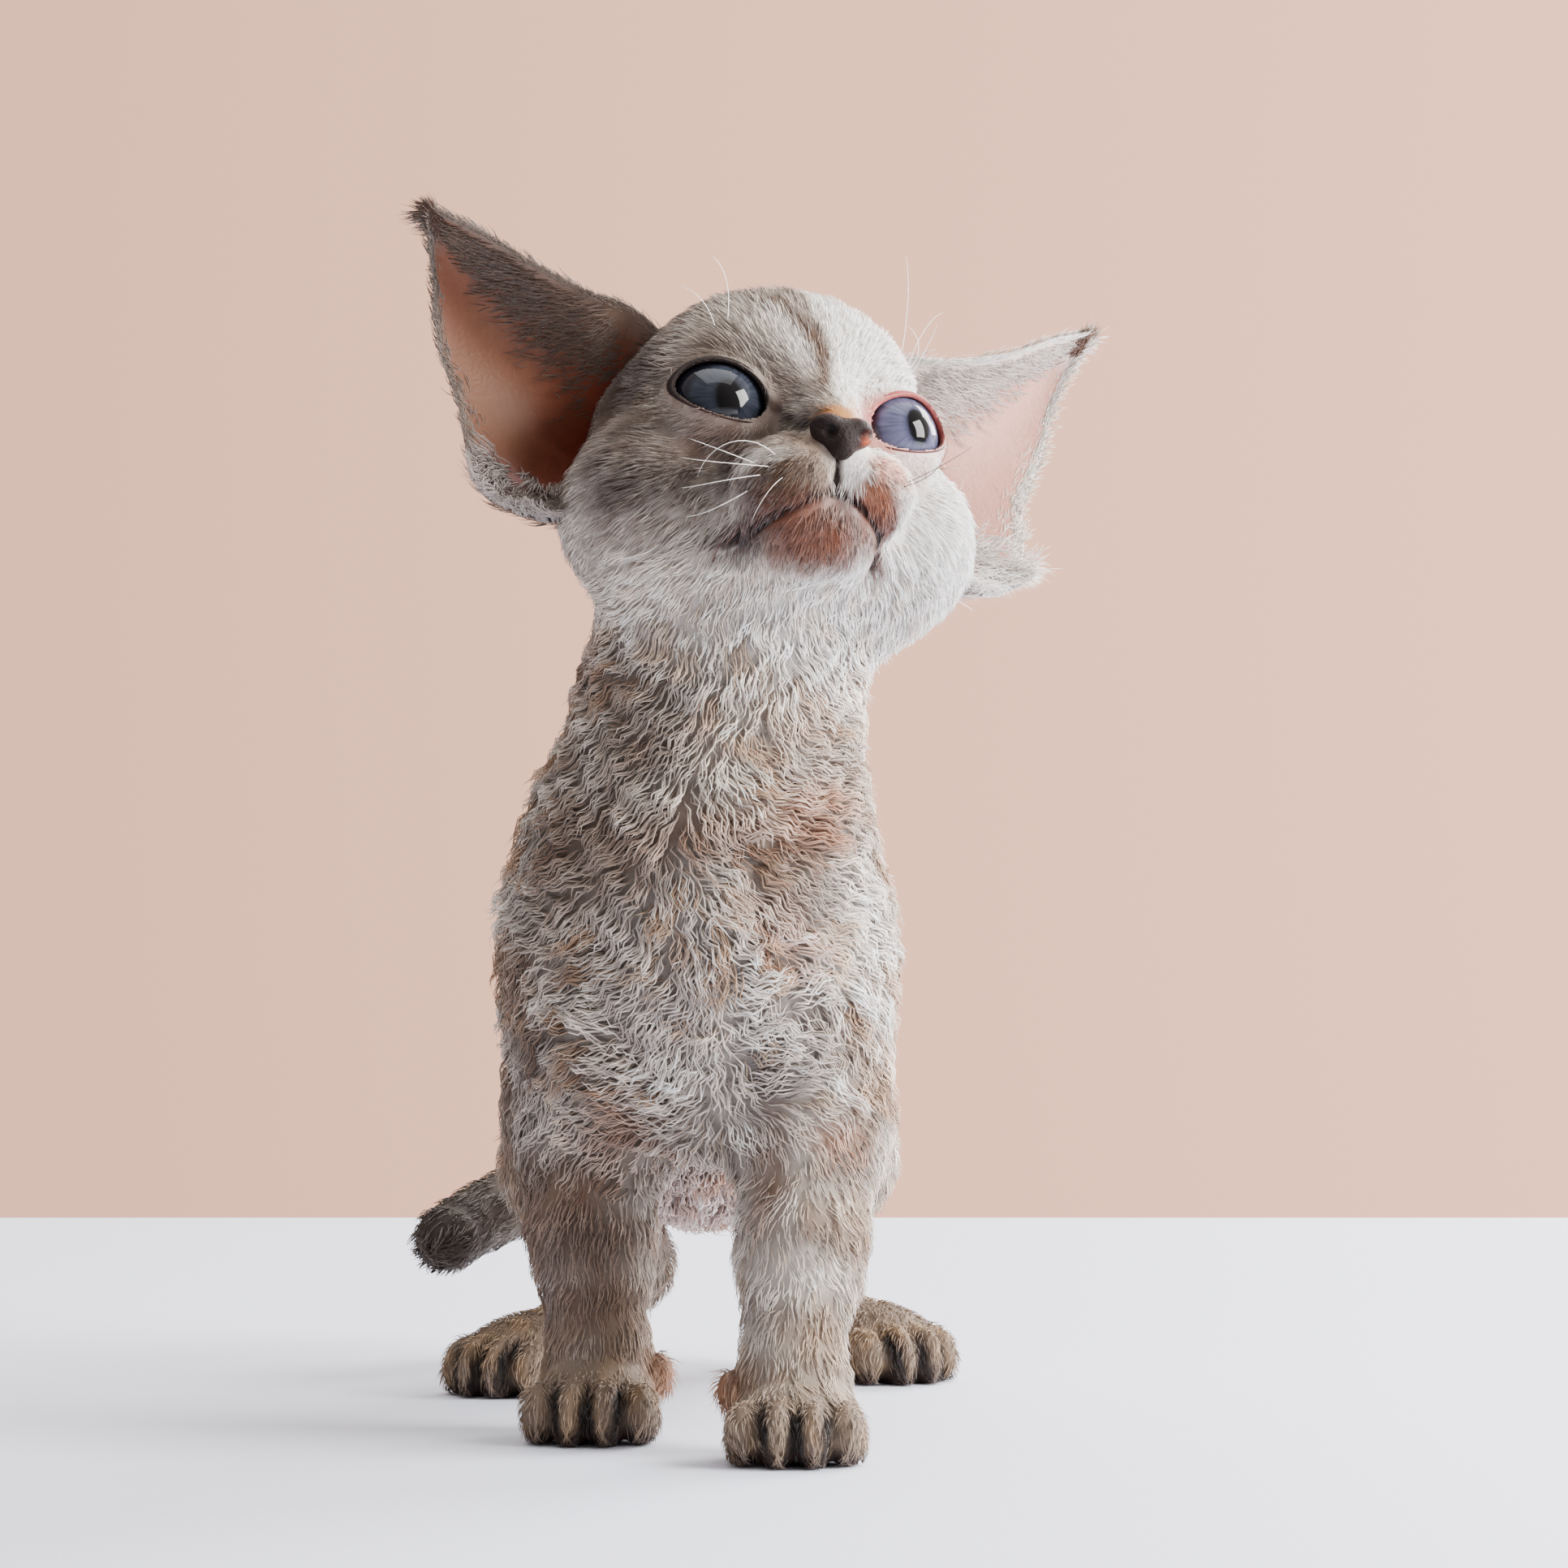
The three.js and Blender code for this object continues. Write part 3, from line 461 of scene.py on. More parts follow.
def mesh_object(name, points, faces, sizes=None, colour=None, uv=None):
    """faces is an array of equal rows, or the run of corner indices with the sizes of the faces."""
    if sizes is None:
        sizes = np.full(len(faces), faces.shape[1])
    corners = np.asarray(faces, np.int32).ravel()
    mesh = bpy.data.meshes.new(name)
    mesh.vertices.add(len(points))
    mesh.vertices.foreach_set("co", in_scene(points).astype(np.float32).ravel())
    mesh.loops.add(len(corners))
    mesh.loops.foreach_set("vertex_index", corners)
    mesh.polygons.add(len(sizes))
    starts = np.concatenate([[0], np.cumsum(sizes)[:-1]]).astype(np.int32)
    mesh.polygons.foreach_set("loop_start", starts)
    if colour is not None:
        layer = mesh.color_attributes.new("markings", "FLOAT_COLOR", "POINT")
        rgba = np.concatenate([colour, np.ones((len(colour), 1))], 1).astype(np.float32)
        layer.data.foreach_set("color", rgba.ravel())
    if uv is not None:
        layer = mesh.uv_layers.new(name="OFBake", do_init=False)
        layer.data.foreach_set("uv", uv.astype(np.float32).ravel())
    mesh.update(calc_edges=True)
    mesh.validate(clean_customdata=False)
    mesh.polygons.foreach_set("use_smooth", np.ones(len(mesh.polygons), bool))
    thing = bpy.data.objects.new(name, mesh)
    bpy.context.scene.collection.objects.link(thing)
    return thing


# Colours

def shade(r, g, b):
    c = np.array([r, g, b]) / 255
    return np.where(c <= 0.04045, c / 12.92, ((c + 0.055) / 1.055) ** 2.4)


CREAM = shade(240, 230, 217)
WHITE = shade(247, 242, 236)
TAUPE = shade(148, 127, 109)
DEEP_TAUPE = shade(86, 69, 57)
GINGER = shade(172, 104, 58)
PALE_GINGER = shade(209, 172, 140)
LIP_BROWN = shade(112, 70, 58)
LID_DARK = shade(30, 20, 19)
LID_PINK = shade(186, 96, 90)
WARM_BROWN = shade(134, 90, 62)
MAUVE = shade(128, 98, 92)
BELLY_PINK = shade(228, 204, 196)
BAND_BROWN = shade(134, 112, 96)
FORELEG_SHADE = shade(112, 90, 74)
FOOT_BROWN, FOOT_PALE = shade(134, 110, 88), shade(182, 150, 114)
# The first is painted shade for the gaps between the toes
TOE_GAP_SHADE, SOLE_BROWN = shade(24, 16, 12), shade(62, 46, 39)
TAIL_TIP = shade(62, 50, 43)
STREAK = shade(104, 78, 60)
FACE_TAUPE = shade(136, 116, 100)
DOT_BROWN = shade(46, 32, 28)
MOUTH_DARK, PHILTRUM_DARK = shade(34, 20, 18), shade(38, 24, 22)
EYE_SHADE, BROW_PINK = shade(116, 94, 82), shade(214, 140, 128)
# The second is painted shade for the troughs of the coat's waves, tinted brown
WARM_LOCK, TROUGH_SHADE_BROWN = shade(214, 186, 160), shade(124, 84, 60)
PALE_HAIR, DARK_HAIR = shade(245, 240, 232), shade(64, 46, 40)


def noise(p, size, seed=0):
    """Smooth random values from 0 to 1, alike within about size millimetres."""
    q = p / size
    cell = np.floor(q).astype(np.int64)
    f = q - cell
    f = f * f * (3 - 2 * f)
    total = np.zeros(len(p))
    for c in CORNERS:
        k = cell + c
        h = (k[:, 0] * 374761393 + k[:, 1] * 668265263 + k[:, 2] * 1442695041 + seed * 974634777) & 0xFFFFFFFF
        h = ((h ^ (h >> 13)) * 1274126177) & 0xFFFFFFFF
        h = (h ^ (h >> 16)) & 0xFFFF
        total += np.prod(np.where(c, f, 1 - f), 1) * h / 65535
    return total


def tint(colour, other, amount):
    return colour + (other - colour) * np.clip(amount, 0, 1)[:, None]


def line_distance(p, points):
    """The distance to a line through points."""
    best = np.full(len(p), 1e9)
    for a, b in zip(points, points[1:]):
        a, b = np.asarray(a, float), np.asarray(b, float)
        t = np.clip(((p - a) @ (b - a)) / ((b - a) @ (b - a)), 0, 1)
        best = np.minimum(best, np.linalg.norm(p - a - t[:, None] * (b - a), axis=1))
    return best


def near_line(p, points, width):
    return np.exp(-(line_distance(p, points) / width) ** 2)


# Mouth and nose

MOUTH_MIDDLE, MOUTH_HALF_WIDTH, MOUTH_FALL = -15.2, 11.8, 4.8


def from_front(x, z):
    p = np.array([[x, -60.0, z]])
    for _ in range(200):
        d = head_flesh(p)[0]
        if d < 0.01:
            break
        p[0, 1] += d * 0.7
    return p[0]


def mouth_point(x, lower=0.0):
    t = min(abs(x) / MOUTH_HALF_WIDTH, 1)
    return from_front(x, MOUTH_MIDDLE - MOUTH_FALL * math.sin(t * math.pi / 2) ** 1.2 - lower)


mouth_line = [mouth_point(x) for x in np.linspace(-MOUTH_HALF_WIDTH, MOUTH_HALF_WIDTH, 17)]
lower_lip = [mouth_point(x, 1.5) for x in np.linspace(-8, 8, 9)]
philtrum = [from_front(0, z) for z in np.linspace(-9.6, MOUTH_MIDDLE, 5)]


def on_front(h, line, width):
    """1 on a line across the muzzle, seen from the front of the head, and 0 away from it."""
    flat = np.array(line) * [1, 0, 1]
    return near_line(h * [1, 0, 1], flat, width) * smooth(-11, -15, h[:, 1])


nose_pad = blend(
    1.6,
    ball([2.1, -30.6, -6.5], [2.6, 2.5, 2.3]),
    ball([-2.1, -30.6, -6.5], [2.6, 2.5, 2.3]),
    ball([0, -31, -8.4], [2, 2.2, 2.6]),
)


# Markings

# The middle, half size and paint of each patch, and how strong it is
BODY_SPOTS = [
    ([1.8, 1.5, 91.6], [7, 9, 4], WARM_BROWN, 0.7),
    ([17, 7, 92.7], [6, 9, 5], GINGER, 0.8),
    ([12.3, 2.2, 74], [4, 9, 8], GINGER, 0.75),
    ([-24.6, 17.6, 58.2], [4, 9, 4], DEEP_TAUPE, 0.9),
    ([-9.1, 15.6, 45.3], [5, 10, 8], WARM_BROWN, 0.9),
    ([10, 4.5, 57.6], [3.4, 9, 8], DEEP_TAUPE, 0.85),
    ([9.9, 7.2, 42], [3.4, 9, 9], WARM_BROWN, 0.85),
    ([20.5, 7.7, 54], [4.5, 9, 4.5], WHITE, 0.9),
    ([21.7, 7.8, 45.7], [5, 9, 3], GINGER, 0.8),
    ([-15.7, 19, 116.5], [4, 9, 3], WARM_BROWN, 0.8),
    ([24.2, 17.2, 112.9], [7, 9, 2.6], GINGER, 0.7),
    ([14.6, 9, 109], [5, 9, 3], PALE_GINGER, 0.7),
    ([-20, 9, 80], [6, 9, 9], TAUPE, 0.5),
    ([26, 13, 78], [6, 9, 12], WHITE, 0.8),
    ([-3.8, 49.7, 34], [9, 9, 5], MAUVE, 0.5),
    ([-22, 60, 88], [9, 14, 8], GINGER, 0.6),
    ([16, 78, 84], [9, 14, 8], WARM_BROWN, 0.6),
    ([-14, 104, 72], [9, 12, 7], DEEP_TAUPE, 0.6),
    ([24, 100, 60], [8, 13, 8], GINGER, 0.5),
]
# The points, half width, strength and paint of each streak on the head, in its own frame
HEAD_LINES = [
    ([[-8, -17, 19.5], [-4.7, -19.3, 17.3], [-1.7, -21.4, 13.8], [0, -23, 9.6], [-0.6, -25.2, 5],
      [-1.5, -26.8, 2.5]], 1.5, 1.15, STREAK),
    ([[-11, -20, 10.5], [-8, -21.6, 7], [-5, -23.6, 3], [-4, -26, 0]], 1.8, 0.75, shade(112, 94, 84)),
    ([[-7, -19.5, 15.5], [-4.2, -21.5, 11.5], [-3.2, -23, 7.5]], 1.5, 0.75, WHITE),
    ([[-18.6, -13.2, 11.4], [-16.5, -13.9, 15.3], [-12.3, -15.7, 18]], 3, 0.5, CREAM),
    ([[-20.5, -18.9, -1.4], [-26.1, -11.2, -3.5], [-30.5, -9.1, -8]], 2.2, 0.6, DEEP_TAUPE),
    ([[-14, -20, -9.5], [-21.5, -17.1, -12.5], [-28, -12.5, -13]], 5, 1, shade(78, 62, 52)),
    ([[-7.4, -21.4, 0.4], [-6.1, -22.1, -1.7], [-5.2, -25.5, -3.6], [-4.4, -28.4, -5]],
     0.9, 1.2, shade(48, 34, 30)),
    ([[13.5, -23, -9], [18.5, -18.8, -5.5]], 1.8, 0.6, shade(226, 160, 138)),
]
HEAD_SPOTS = [
    ([-23, -3, 9], [5, 7, 6], shade(82, 66, 56), 0.9),
    ([-9.2, -29.6, -15.6], [6.4, 7, 4], shade(80, 56, 38), 1),
    ([-11, -28.6, -11.2], [4, 6, 1.5], CREAM, 0.7),
    ([-8.8, -27, -18.8], [5.4, 7, 3], shade(88, 58, 42), 0.95),
    ([5.6, -30.6, -16], [3.6, 7, 3.6], shade(140, 84, 58), 1),
    ([8.6, -26, -18.8], [3.2, 7, 3.4], shade(98, 56, 40), 1),
    ([-1.2, -28, -21.4], [7, 8, 4.8], shade(112, 64, 44), 1),
    ([-5, -26, -23.4], [5, 6, 2.6], shade(124, 78, 58), 0.75),
    ([-11.6, -19.2, -20.4], [3.4, 5, 2], shade(66, 50, 42), 1),
    ([12, -19, -20.2], [2.4, 5, 2], shade(78, 52, 44), 1),
    ([7.4, -31, -10.6], [3.4, 6, 2.6], shade(228, 160, 134), 0.85),
    ([9, -22.5, -4.4], [3, 5, 3.4], shade(230, 172, 150), 0.7),
    ([-1, -31, -4.2], [3, 4, 1.7], shade(182, 126, 74), 1.25),
    ([-4.2, -28.2, -3.4], [1.8, 4, 1.8], shade(84, 66, 56), 0.8),
    ([3, -29.4, -2.2], [2.2, 4, 2.4], shade(214, 160, 126), 0.75),
    ([-15, -19.4, -6.6], [5, 6, 2], shade(140, 110, 94), 0.8),
]
WHISKER_DOTS = [
    from_front(side * (4.4 + 2.1 * k), -10.4 - 1.7 * row - 0.35 * k)
    for row in range(3) for k in range(4) for _, side in SIDES
]


def glow(p, centre, size):
    """1 at a centre, and less away from it."""
    return np.exp(-(((p - centre) / size) ** 2).sum(1))


def layered(colour, layers):
    """Lays paints over a colour, each with how much of it there is."""
    for paint, amount in layers:
        colour = tint(colour, paint, amount)
    return colour


def trunk_markings(colour, p, w, n1, n2, n3):
    """Cream waves with taupe and ginger in them, more so on the back and at the right side."""
    body = w["neck"] + w["trunk"] + w["thigh"] + w["foreleg"]
    right = smooth(8, -10, p[:, 0])
    back = smooth(25, 60, p[:, 1]) * smooth(50, 90, p[:, 2])
    patches = smooth(0.42, 0.72, 0.7 * n1 + 0.3 * n3)
    colour = tint(colour, TAUPE, body * (0.1 + 0.36 * right + 0.3 * back + 0.6 * patches))
    colour = tint(colour, WARM_BROWN, body * 0.6 * smooth(0.5, 0.8, n2) * (0.4 + 0.6 * n3))
    for spot, size, paint, strength in BODY_SPOTS:
        near = smooth(1.7, 0.5, np.linalg.norm((p - spot) / size, axis=1) + 0.6 * (n3 - 0.5))
        colour = tint(colour, paint, strength * near * (0.5 + 0.6 * n3))
    colour = tint(colour, WHITE, 0.75 * glow(p, [6, 2, 66], [11, 14, 15]) * smooth(0.15, 0.5, n3))
    return tint(colour, BELLY_PINK, smooth(30, 45, p[:, 1]) * smooth(46, 36, p[:, 2]) * w["trunk"])


def leg_markings(colour, p, w, n1, n2, n3):
    """Faint bands, brown feet with painted shade in the gaps between the toes, and a dark tail."""
    foreleg, foot, on_tail = w["foreleg"], w["foot"], w["tail"]
    bands = smooth(0.35, 0.75, 0.5 * n1 + 0.3 * n2 + 0.2 + 0.16 * np.sin(p[:, 2] * 0.62 + 3 * n2))
    in_shade = smooth(-4, -12, p[:, 0]) * smooth(74, 56, p[:, 2]) * (0.55 + 0.45 * n3)
    colour = layered(colour, (
        (BAND_BROWN, foreleg * 0.75 * bands * smooth(66, 48, p[:, 2])),
        (PALE_GINGER, foreleg * 0.5 * smooth(0.5, 0.8, n1) * smooth(10, 18, np.abs(p[:, 0]))),
        (FORELEG_SHADE, foreleg * 0.8 * in_shade),
        (FOOT_BROWN, foot * 0.9),
        (FOOT_PALE, foot * 0.7 * smooth(0.4, 0.75, n3)),
    ))
    for name, side in SIDES:
        fore = (FOREPAWS[name], forepaws[name], 1)
        hind = (HINDPAWS[name], hindlegs[name][1], HINDPAW_SCALE)
        for paw, field, scale in (fore, hind):
            q = paw_place(p, paw)
            here = np.exp(-np.maximum(field(p), 0))
            # Painted shade in the gaps between the toes
            gap = sum(np.exp(-(((q[:, 0] - x * scale) / 0.75) ** 2)) for x in (-5.0, 0, 5.0))
            gap = gap * smooth(-2, -5.5, q[:, 1]) * smooth(11, 7.5, q[:, 2])
            colour = tint(colour, TOE_GAP_SHADE, 1.3 * here * gap)
            colour = tint(colour, SOLE_BROWN, here * smooth(3.4, 1, q[:, 2]))
            if scale == 1:
                colour = tint(colour, GINGER, 0.85 * glow(q, [-side * 10, 4.5, 9.5], [3.5, 4, 4.5]))
    tip = np.exp(-((np.linalg.norm(p - tail_points[-1], axis=1) / 13) ** 2))
    return layered(colour, ((DEEP_TAUPE, on_tail * (0.8 + 0.2 * n3)), (TAIL_TIP, tip * on_tail)))


def head_markings(colour, p, w, n1, n3):
    """Taupe on the right of the face, cream on the left, with brown streaks on the brow."""
    h = to_head(p)
    head = w["head"] + w["muzzle"] + w["ruff"]
    face = head * smooth(18, 4, h[:, 1])
    right = smooth(1, -1.6, h[:, 0] + 0.8 * (n3 - 0.5)) * smooth(-28, -19, h[:, 2])
    fleck = noise(p, 1.3, 4)
    mottle = 0.35 + 0.65 * smooth(0.25, 0.7, 0.45 * n1 + 0.25 * n3 + 0.3 * fleck)
    colour = layered(colour, (
        (CREAM, head * 0.6),
        (WHITE, face * smooth(-1, 2, h[:, 0]) * 0.85),
        (FACE_TAUPE, face * right * mottle),
        (WHITE, w["ruff"] * glow(h, [4, -10, -29], [14, 14, 7])),
    ))
    for spot, size, paint, strength in HEAD_SPOTS:
        near = smooth(1.5, 0.55, np.linalg.norm((h - spot) / size, axis=1) + 0.5 * (fleck - 0.5))
        colour = tint(colour, paint, head * strength * near * (0.75 + 0.2 * n3 + 0.25 * fleck))
    for line, width, strength, paint in HEAD_LINES:
        streak = near_line(h, line, width) * (0.55 + 0.3 * n3 + 0.5 * fleck)
        colour = tint(colour, paint, head * strength * streak)
    for dot in WHISKER_DOTS:
        colour = tint(colour, DOT_BROWN, 0.85 * np.exp(-((h - dot) ** 2).sum(1) / 0.35))
    left_eye, right_eye = almond_reach(h, 1), almond_reach(h, -1)
    above = 0.45 + 0.55 * smooth(-2, 2, h[:, 2])
    return layered(colour, (
        (LIP_BROWN, on_front(h, mouth_line, 1.1) * 0.75),
        (MOUTH_DARK, on_front(h, mouth_line, 0.36) * 1.3),
        (PHILTRUM_DARK, on_front(h, philtrum, 0.42) * 1.3),
        (EYE_SHADE, smooth(1.8, 1.2, right_eye) * 0.6),
        (LID_DARK, smooth(1.3, 1.08, right_eye) * (0.55 + 0.45 * smooth(-1.5, 1, h[:, 2]))),
        (BROW_PINK, smooth(1.8, 1.2, left_eye) * 0.85 * above),
        (LID_PINK, smooth(1.32, 1.08, left_eye) * above),
    ))


def body_colour(p):
    """The coat's markings, from its place on the kitten alone."""
    weights = region_weights(p)
    w = {name: weights[:, i] for i, name in enumerate(REGION_NAMES)}
    n1, n2, n3 = noise(p, 9, 1), noise(p, 17, 2), noise(p, 3.2, 3)
    colour = np.tile(CREAM, (len(p), 1))
    colour = trunk_markings(colour, p, w, n1, n2, n3)
    colour = leg_markings(colour, p, w, n1, n2, n3)
    return head_markings(colour, p, w, n1, n3)


# The skin

points, quads = surface_net(skin_field, [-56, -20, -2], [48, 170, 176], SKIN_CELL)
points = drawn_on(skin_field, points, SKIN_CELL * 0.5)


def refined(points, faces, chosen):
    """Splits the chosen quads in four, and joins the rest to them with no open seam."""
    mesh = bpy.data.meshes.new("refined")
    mesh.from_pydata(points.tolist(), [], faces)
    bm = bmesh.new()
    bm.from_mesh(mesh)
    bm.faces.ensure_lookup_table()
    edges = {edge for i in chosen for edge in bm.faces[i].edges}
    bmesh.ops.subdivide_edges(bm, edges=list(edges), cuts=1, use_grid_fill=True)
    bmesh.ops.triangulate(bm, faces=[f for f in bm.faces if len(f.verts) > 4])
    bm.verts.index_update()
    out = np.array([v.co[:] for v in bm.verts])
    rows = [[v.index for v in f.verts] for f in bm.faces]
    bm.free()
    bpy.data.meshes.remove(mesh)
    return out, rows


faces = quads.tolist()
middle = to_head(points[quads].mean(1))
on_face = (middle[:, 1] < -9) & (np.abs(middle[:, 0]) < 26) & (middle[:, 2] < 14) & (middle[:, 2] > -29)
points, faces = refined(points, faces, np.nonzero(on_face)[0].tolist())
middle = to_head(np.array([points[f].mean(0) for f in faces]))
lips = np.maximum(on_front(middle, mouth_line, 1), on_front(middle, philtrum, 1)) > 0.03
rims = np.abs(nearest_reach(middle) - 1) < 0.3
whole_quads = np.array([len(f) == 4 for f in faces])
points, faces = refined(points, faces, np.nonzero((lips | rims) & whole_quads)[0].tolist())
head_places = to_head(points)
close = (head_places[:, 1] < -5) & (np.abs(head_places[:, 0]) < 30)
points[close] = drawn_on(skin_field, points[close], 0.3, 2)

# Lips, the line of the mouth and the groove under the nose
normals = unit(slope_of(skin_field, points[close]))
h = to_head(points[close])
push = -1.1 * on_front(h, mouth_line, 0.42) - 0.6 * on_front(h, philtrum, 0.42)
push += 0.35 * on_front(h, lower_lip, 1.2)
points[close] += normals * push[:, None]

# The openings of the lids, with the skin's edge tucked in under the rims
LID_CUT = 1.06
head_places = to_head(points)
reach = nearest_reach(head_places)
faces = [f for f in faces if max(reach[i] for i in f) > LID_CUT]
used = np.unique(np.concatenate([np.array(f) for f in faces]))
for _, side in SIDES:
    centre, forward, outward, up = eye_frame(side)
    own = almond_reach(head_places, side)
    inner = np.nonzero(own < LID_CUT)[0]
    d = head_places[inner] - centre
    across, high = d @ outward, d @ up
    angle = np.arctan2((high - LID_SLANT * across) / EYE_OPENING[1], across / EYE_OPENING[0])
    points[inner] = from_head(almond(side, angle, EYE_RADIUS + 0.3, 1.025))
points[:, 2] = np.maximum(points[:, 2], 0.1)
renumber = np.full(len(points), -1)
renumber[used] = np.arange(len(used))
skin_points = points[used]
skin_sizes = np.array([len(f) for f in faces])
skin_corners = renumber[np.concatenate([np.array(f) for f in faces])]

# Its colour is the coat's, and darker under the curls: painted shade in the gaps between the locks, with a
# taupe tint for the roots
depth = coat_depth(skin_points)
skin_colour = body_colour(skin_points + unit(slope_of(whole, skin_points)) * depth[:, None])
skin_weights = region_weights(skin_points)
on_muzzle = skin_weights[:, REGION_NAMES.index("muzzle")]
skin_curl = by_region(skin_weights, "curl")
under_coat = tint(skin_colour * (0.66 - 0.34 * skin_curl)[:, None], DEEP_TAUPE, 0.3 * skin_curl)
skin_colour = tint(under_coat, skin_colour, np.maximum(face_bareness(to_head(skin_points)), 0.75 * on_muzzle))
skin = mesh_object("skin", skin_points, skin_corners, skin_sizes, skin_colour)

# Materials


def principled(name, roughness, **sockets):
    material = bpy.data.materials.new(name)
    material.use_nodes = True
    tree = material.node_tree
    shader = tree.nodes["Principled BSDF"]
    shader.inputs["Roughness"].default_value = roughness
    for key, value in sockets.items():
        shader.inputs[key.replace("_", " ")].default_value = value
    return material, tree, shader


def node(tree, kind, **values):
    made = tree.nodes.new(kind)
    for key, value in values.items():
        if key in made.inputs:
            made.inputs[key].default_value = value
        else:
            setattr(made, key, value)
    return made


def painted(name, roughness, grain, grain_size, bump, bump_size, **sockets):
    """A material that takes its colour from the markings, with a fine grain of light and dark and a bump."""
    material, tree, shader = principled(name, roughness, **sockets)
    paint = node(tree, "ShaderNodeAttribute", attribute_name="markings")
    place = node(tree, "ShaderNodeTexCoord")
    grains = node(tree, "ShaderNodeTexNoise", Scale=grain_size, Detail=3.0)
    fit = node(tree, "ShaderNodeMapRange")
    fit.inputs["To Min"].default_value = 1 - grain
    fit.inputs["To Max"].default_value = 1 + grain
    by = node(tree, "ShaderNodeVectorMath", operation="SCALE")
    tree.links.new(place.outputs["Object"], grains.inputs["Vector"])
    tree.links.new(grains.outputs["Fac"], fit.inputs["Value"])
    tree.links.new(paint.outputs["Color"], by.inputs[0])
    tree.links.new(fit.outputs["Result"], by.inputs["Scale"])
    tree.links.new(by.outputs["Vector"], shader.inputs["Base Color"])
    if bump:
        pores = node(tree, "ShaderNodeTexNoise", Scale=bump_size, Detail=4.0)
        lift = node(tree, "ShaderNodeBump", Strength=bump, Distance=0.0003)
        tree.links.new(place.outputs["Object"], pores.inputs["Vector"])
        tree.links.new(pores.outputs["Fac"], lift.inputs["Height"])
        tree.links.new(lift.outputs["Normal"], shader.inputs["Normal"])
    return material


SKIN = painted("skin_under_coat", 0.7, 0.12, 900.0, 0.5, 1600.0, Specular_IOR_Level=0.25)
FUR = painted("coat_fur", 0.62, 0.1, 1500.0, 0, 0,
              Specular_IOR_Level=0.22, Sheen_Weight=0.25, Sheen_Roughness=0.5)
WHISKER = painted("whisker_hair", 0.4, 0.05, 800.0, 0, 0, Specular_IOR_Level=0.4)
LEATHER = painted("nose_leather", 0.5, 0.25, 1800.0, 0.8, 2600.0, Specular_IOR_Level=0.12)
EAR_SKIN = painted("ear_skin", 0.55, 0.12, 500.0, 0.5, 1300.0, Specular_IOR_Level=0.3)
LID_SKIN = painted("lid_skin", 0.45, 0.2, 1500.0, 0.4, 2000.0, Specular_IOR_Level=0.15)
skin.data.materials.append(SKIN)
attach(skin, "root")
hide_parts("head", "neck", "torso", "tail", *(part + "_" + name for name, _ in SIDES for part in
                                                    ("foreleg", "forepaw", "thigh", "hock", "hindpaw")))

# Eyes: one ball each with the cornea's bulge, and rims round the openings

CAMERA_AT = np.array([13, -800, 94.0])
# In pixels of the photo: its width, the focal length, the level way ahead and the middle of each pupil
PHOTO_WIDTH, FOCAL_LENGTH = 1932, 6880
STRAIGHT_AHEAD = (966, 989)
PUPIL_PIXEL = {"right": (898, 489), "left": (1131, 525)}


def gaze(name, side):
    """The way that an eye looks, so that its pupil is where the photo shows it."""
    centre = from_head(flip(EYE_AT, side))
    right, down = (pixel - middle for pixel, middle in zip(PUPIL_PIXEL[name], STRAIGHT_AHEAD))
    ray = unit(np.array([right / FOCAL_LENGTH, 1, -down / FOCAL_LENGTH]))
    b = (centre - CAMERA_AT) @ ray
    gap = (centre - CAMERA_AT) @ (centre - CAMERA_AT) - b * b
    hit = CAMERA_AT + ray * (b - math.sqrt(max(EYE_RADIUS ** 2 - gap, 0)))
    return unit(hit - centre)


def ring_quads(steps, rings, spokes):
    """Quads between closed rings of points, from the first ring on for a number of steps."""
    j, i = np.meshgrid(np.arange(steps), np.arange(spokes), indexing="ij")
    j2, i2 = (j + 1) % rings, (i + 1) % spokes
    return np.stack([j * spokes + i, j2 * spokes + i, j2 * spokes + i2, j * spokes + i2], -1).reshape(-1, 4)


def eyeball(name, side):
    rings, spokes = 72, 96
    axis = gaze(name, side)
    flat = unit(np.cross(axis, [0, 0, 1.0]))
    high = np.cross(flat, axis)
    turns = np.linspace(0, 2 * math.pi, spokes, endpoint=False)
    phi, theta = (angle.ravel() for angle in np.meshgrid(turns, np.linspace(0, math.pi, rings + 1)))
    cornea_bulge = 0.55 * smooth(0.8, 0.0, theta)
    radius = EYE_RADIUS - 0.05 + cornea_bulge
    place = (np.cos(theta) * radius)[:, None] * axis
    place = place + (np.sin(theta) * radius * np.cos(phi))[:, None] * flat
    place = place + (np.sin(theta) * radius * np.sin(phi))[:, None] * high
    # The iris round a slightly tall pupil, with streaks from its middle and a dark edge
    reach = np.where(theta > math.pi / 2, 9, np.sin(theta) * EYE_RADIUS)
    tall = reach * np.sqrt((np.cos(phi) / 0.8) ** 2 + (np.sin(phi) / 1.1) ** 2)
    streak = noise(np.stack([np.cos(phi) * 40, np.sin(phi) * 40, reach * 1.2], 1), 2.2, 5)
    # The right eye's iris is darker, as painted shade
    iris = shade(84, 86, 112) if side > 0 else shade(46, 50, 60)
    colour = layered(np.tile(iris, (len(place), 1)), (
        (iris * 0.45, smooth(0.45, 0.8, streak) * 0.6),
        (iris * 1.35, smooth(0.5, 0.2, streak) * smooth(3, 4.6, reach) * 0.5),
        (iris * 0.35, smooth(3.6, 2.2, tall) * 0.8),
        (shade(4, 4, 6), smooth(2.6, 2.1, tall)),
        (shade(22, 22, 32), smooth(5.0, 5.9, reach)),
    ))
    faces = ring_quads(rings, rings + 1, spokes)
    return mesh_object("eyeball_" + name, place + from_head(flip(EYE_AT, side)), faces, colour=colour)


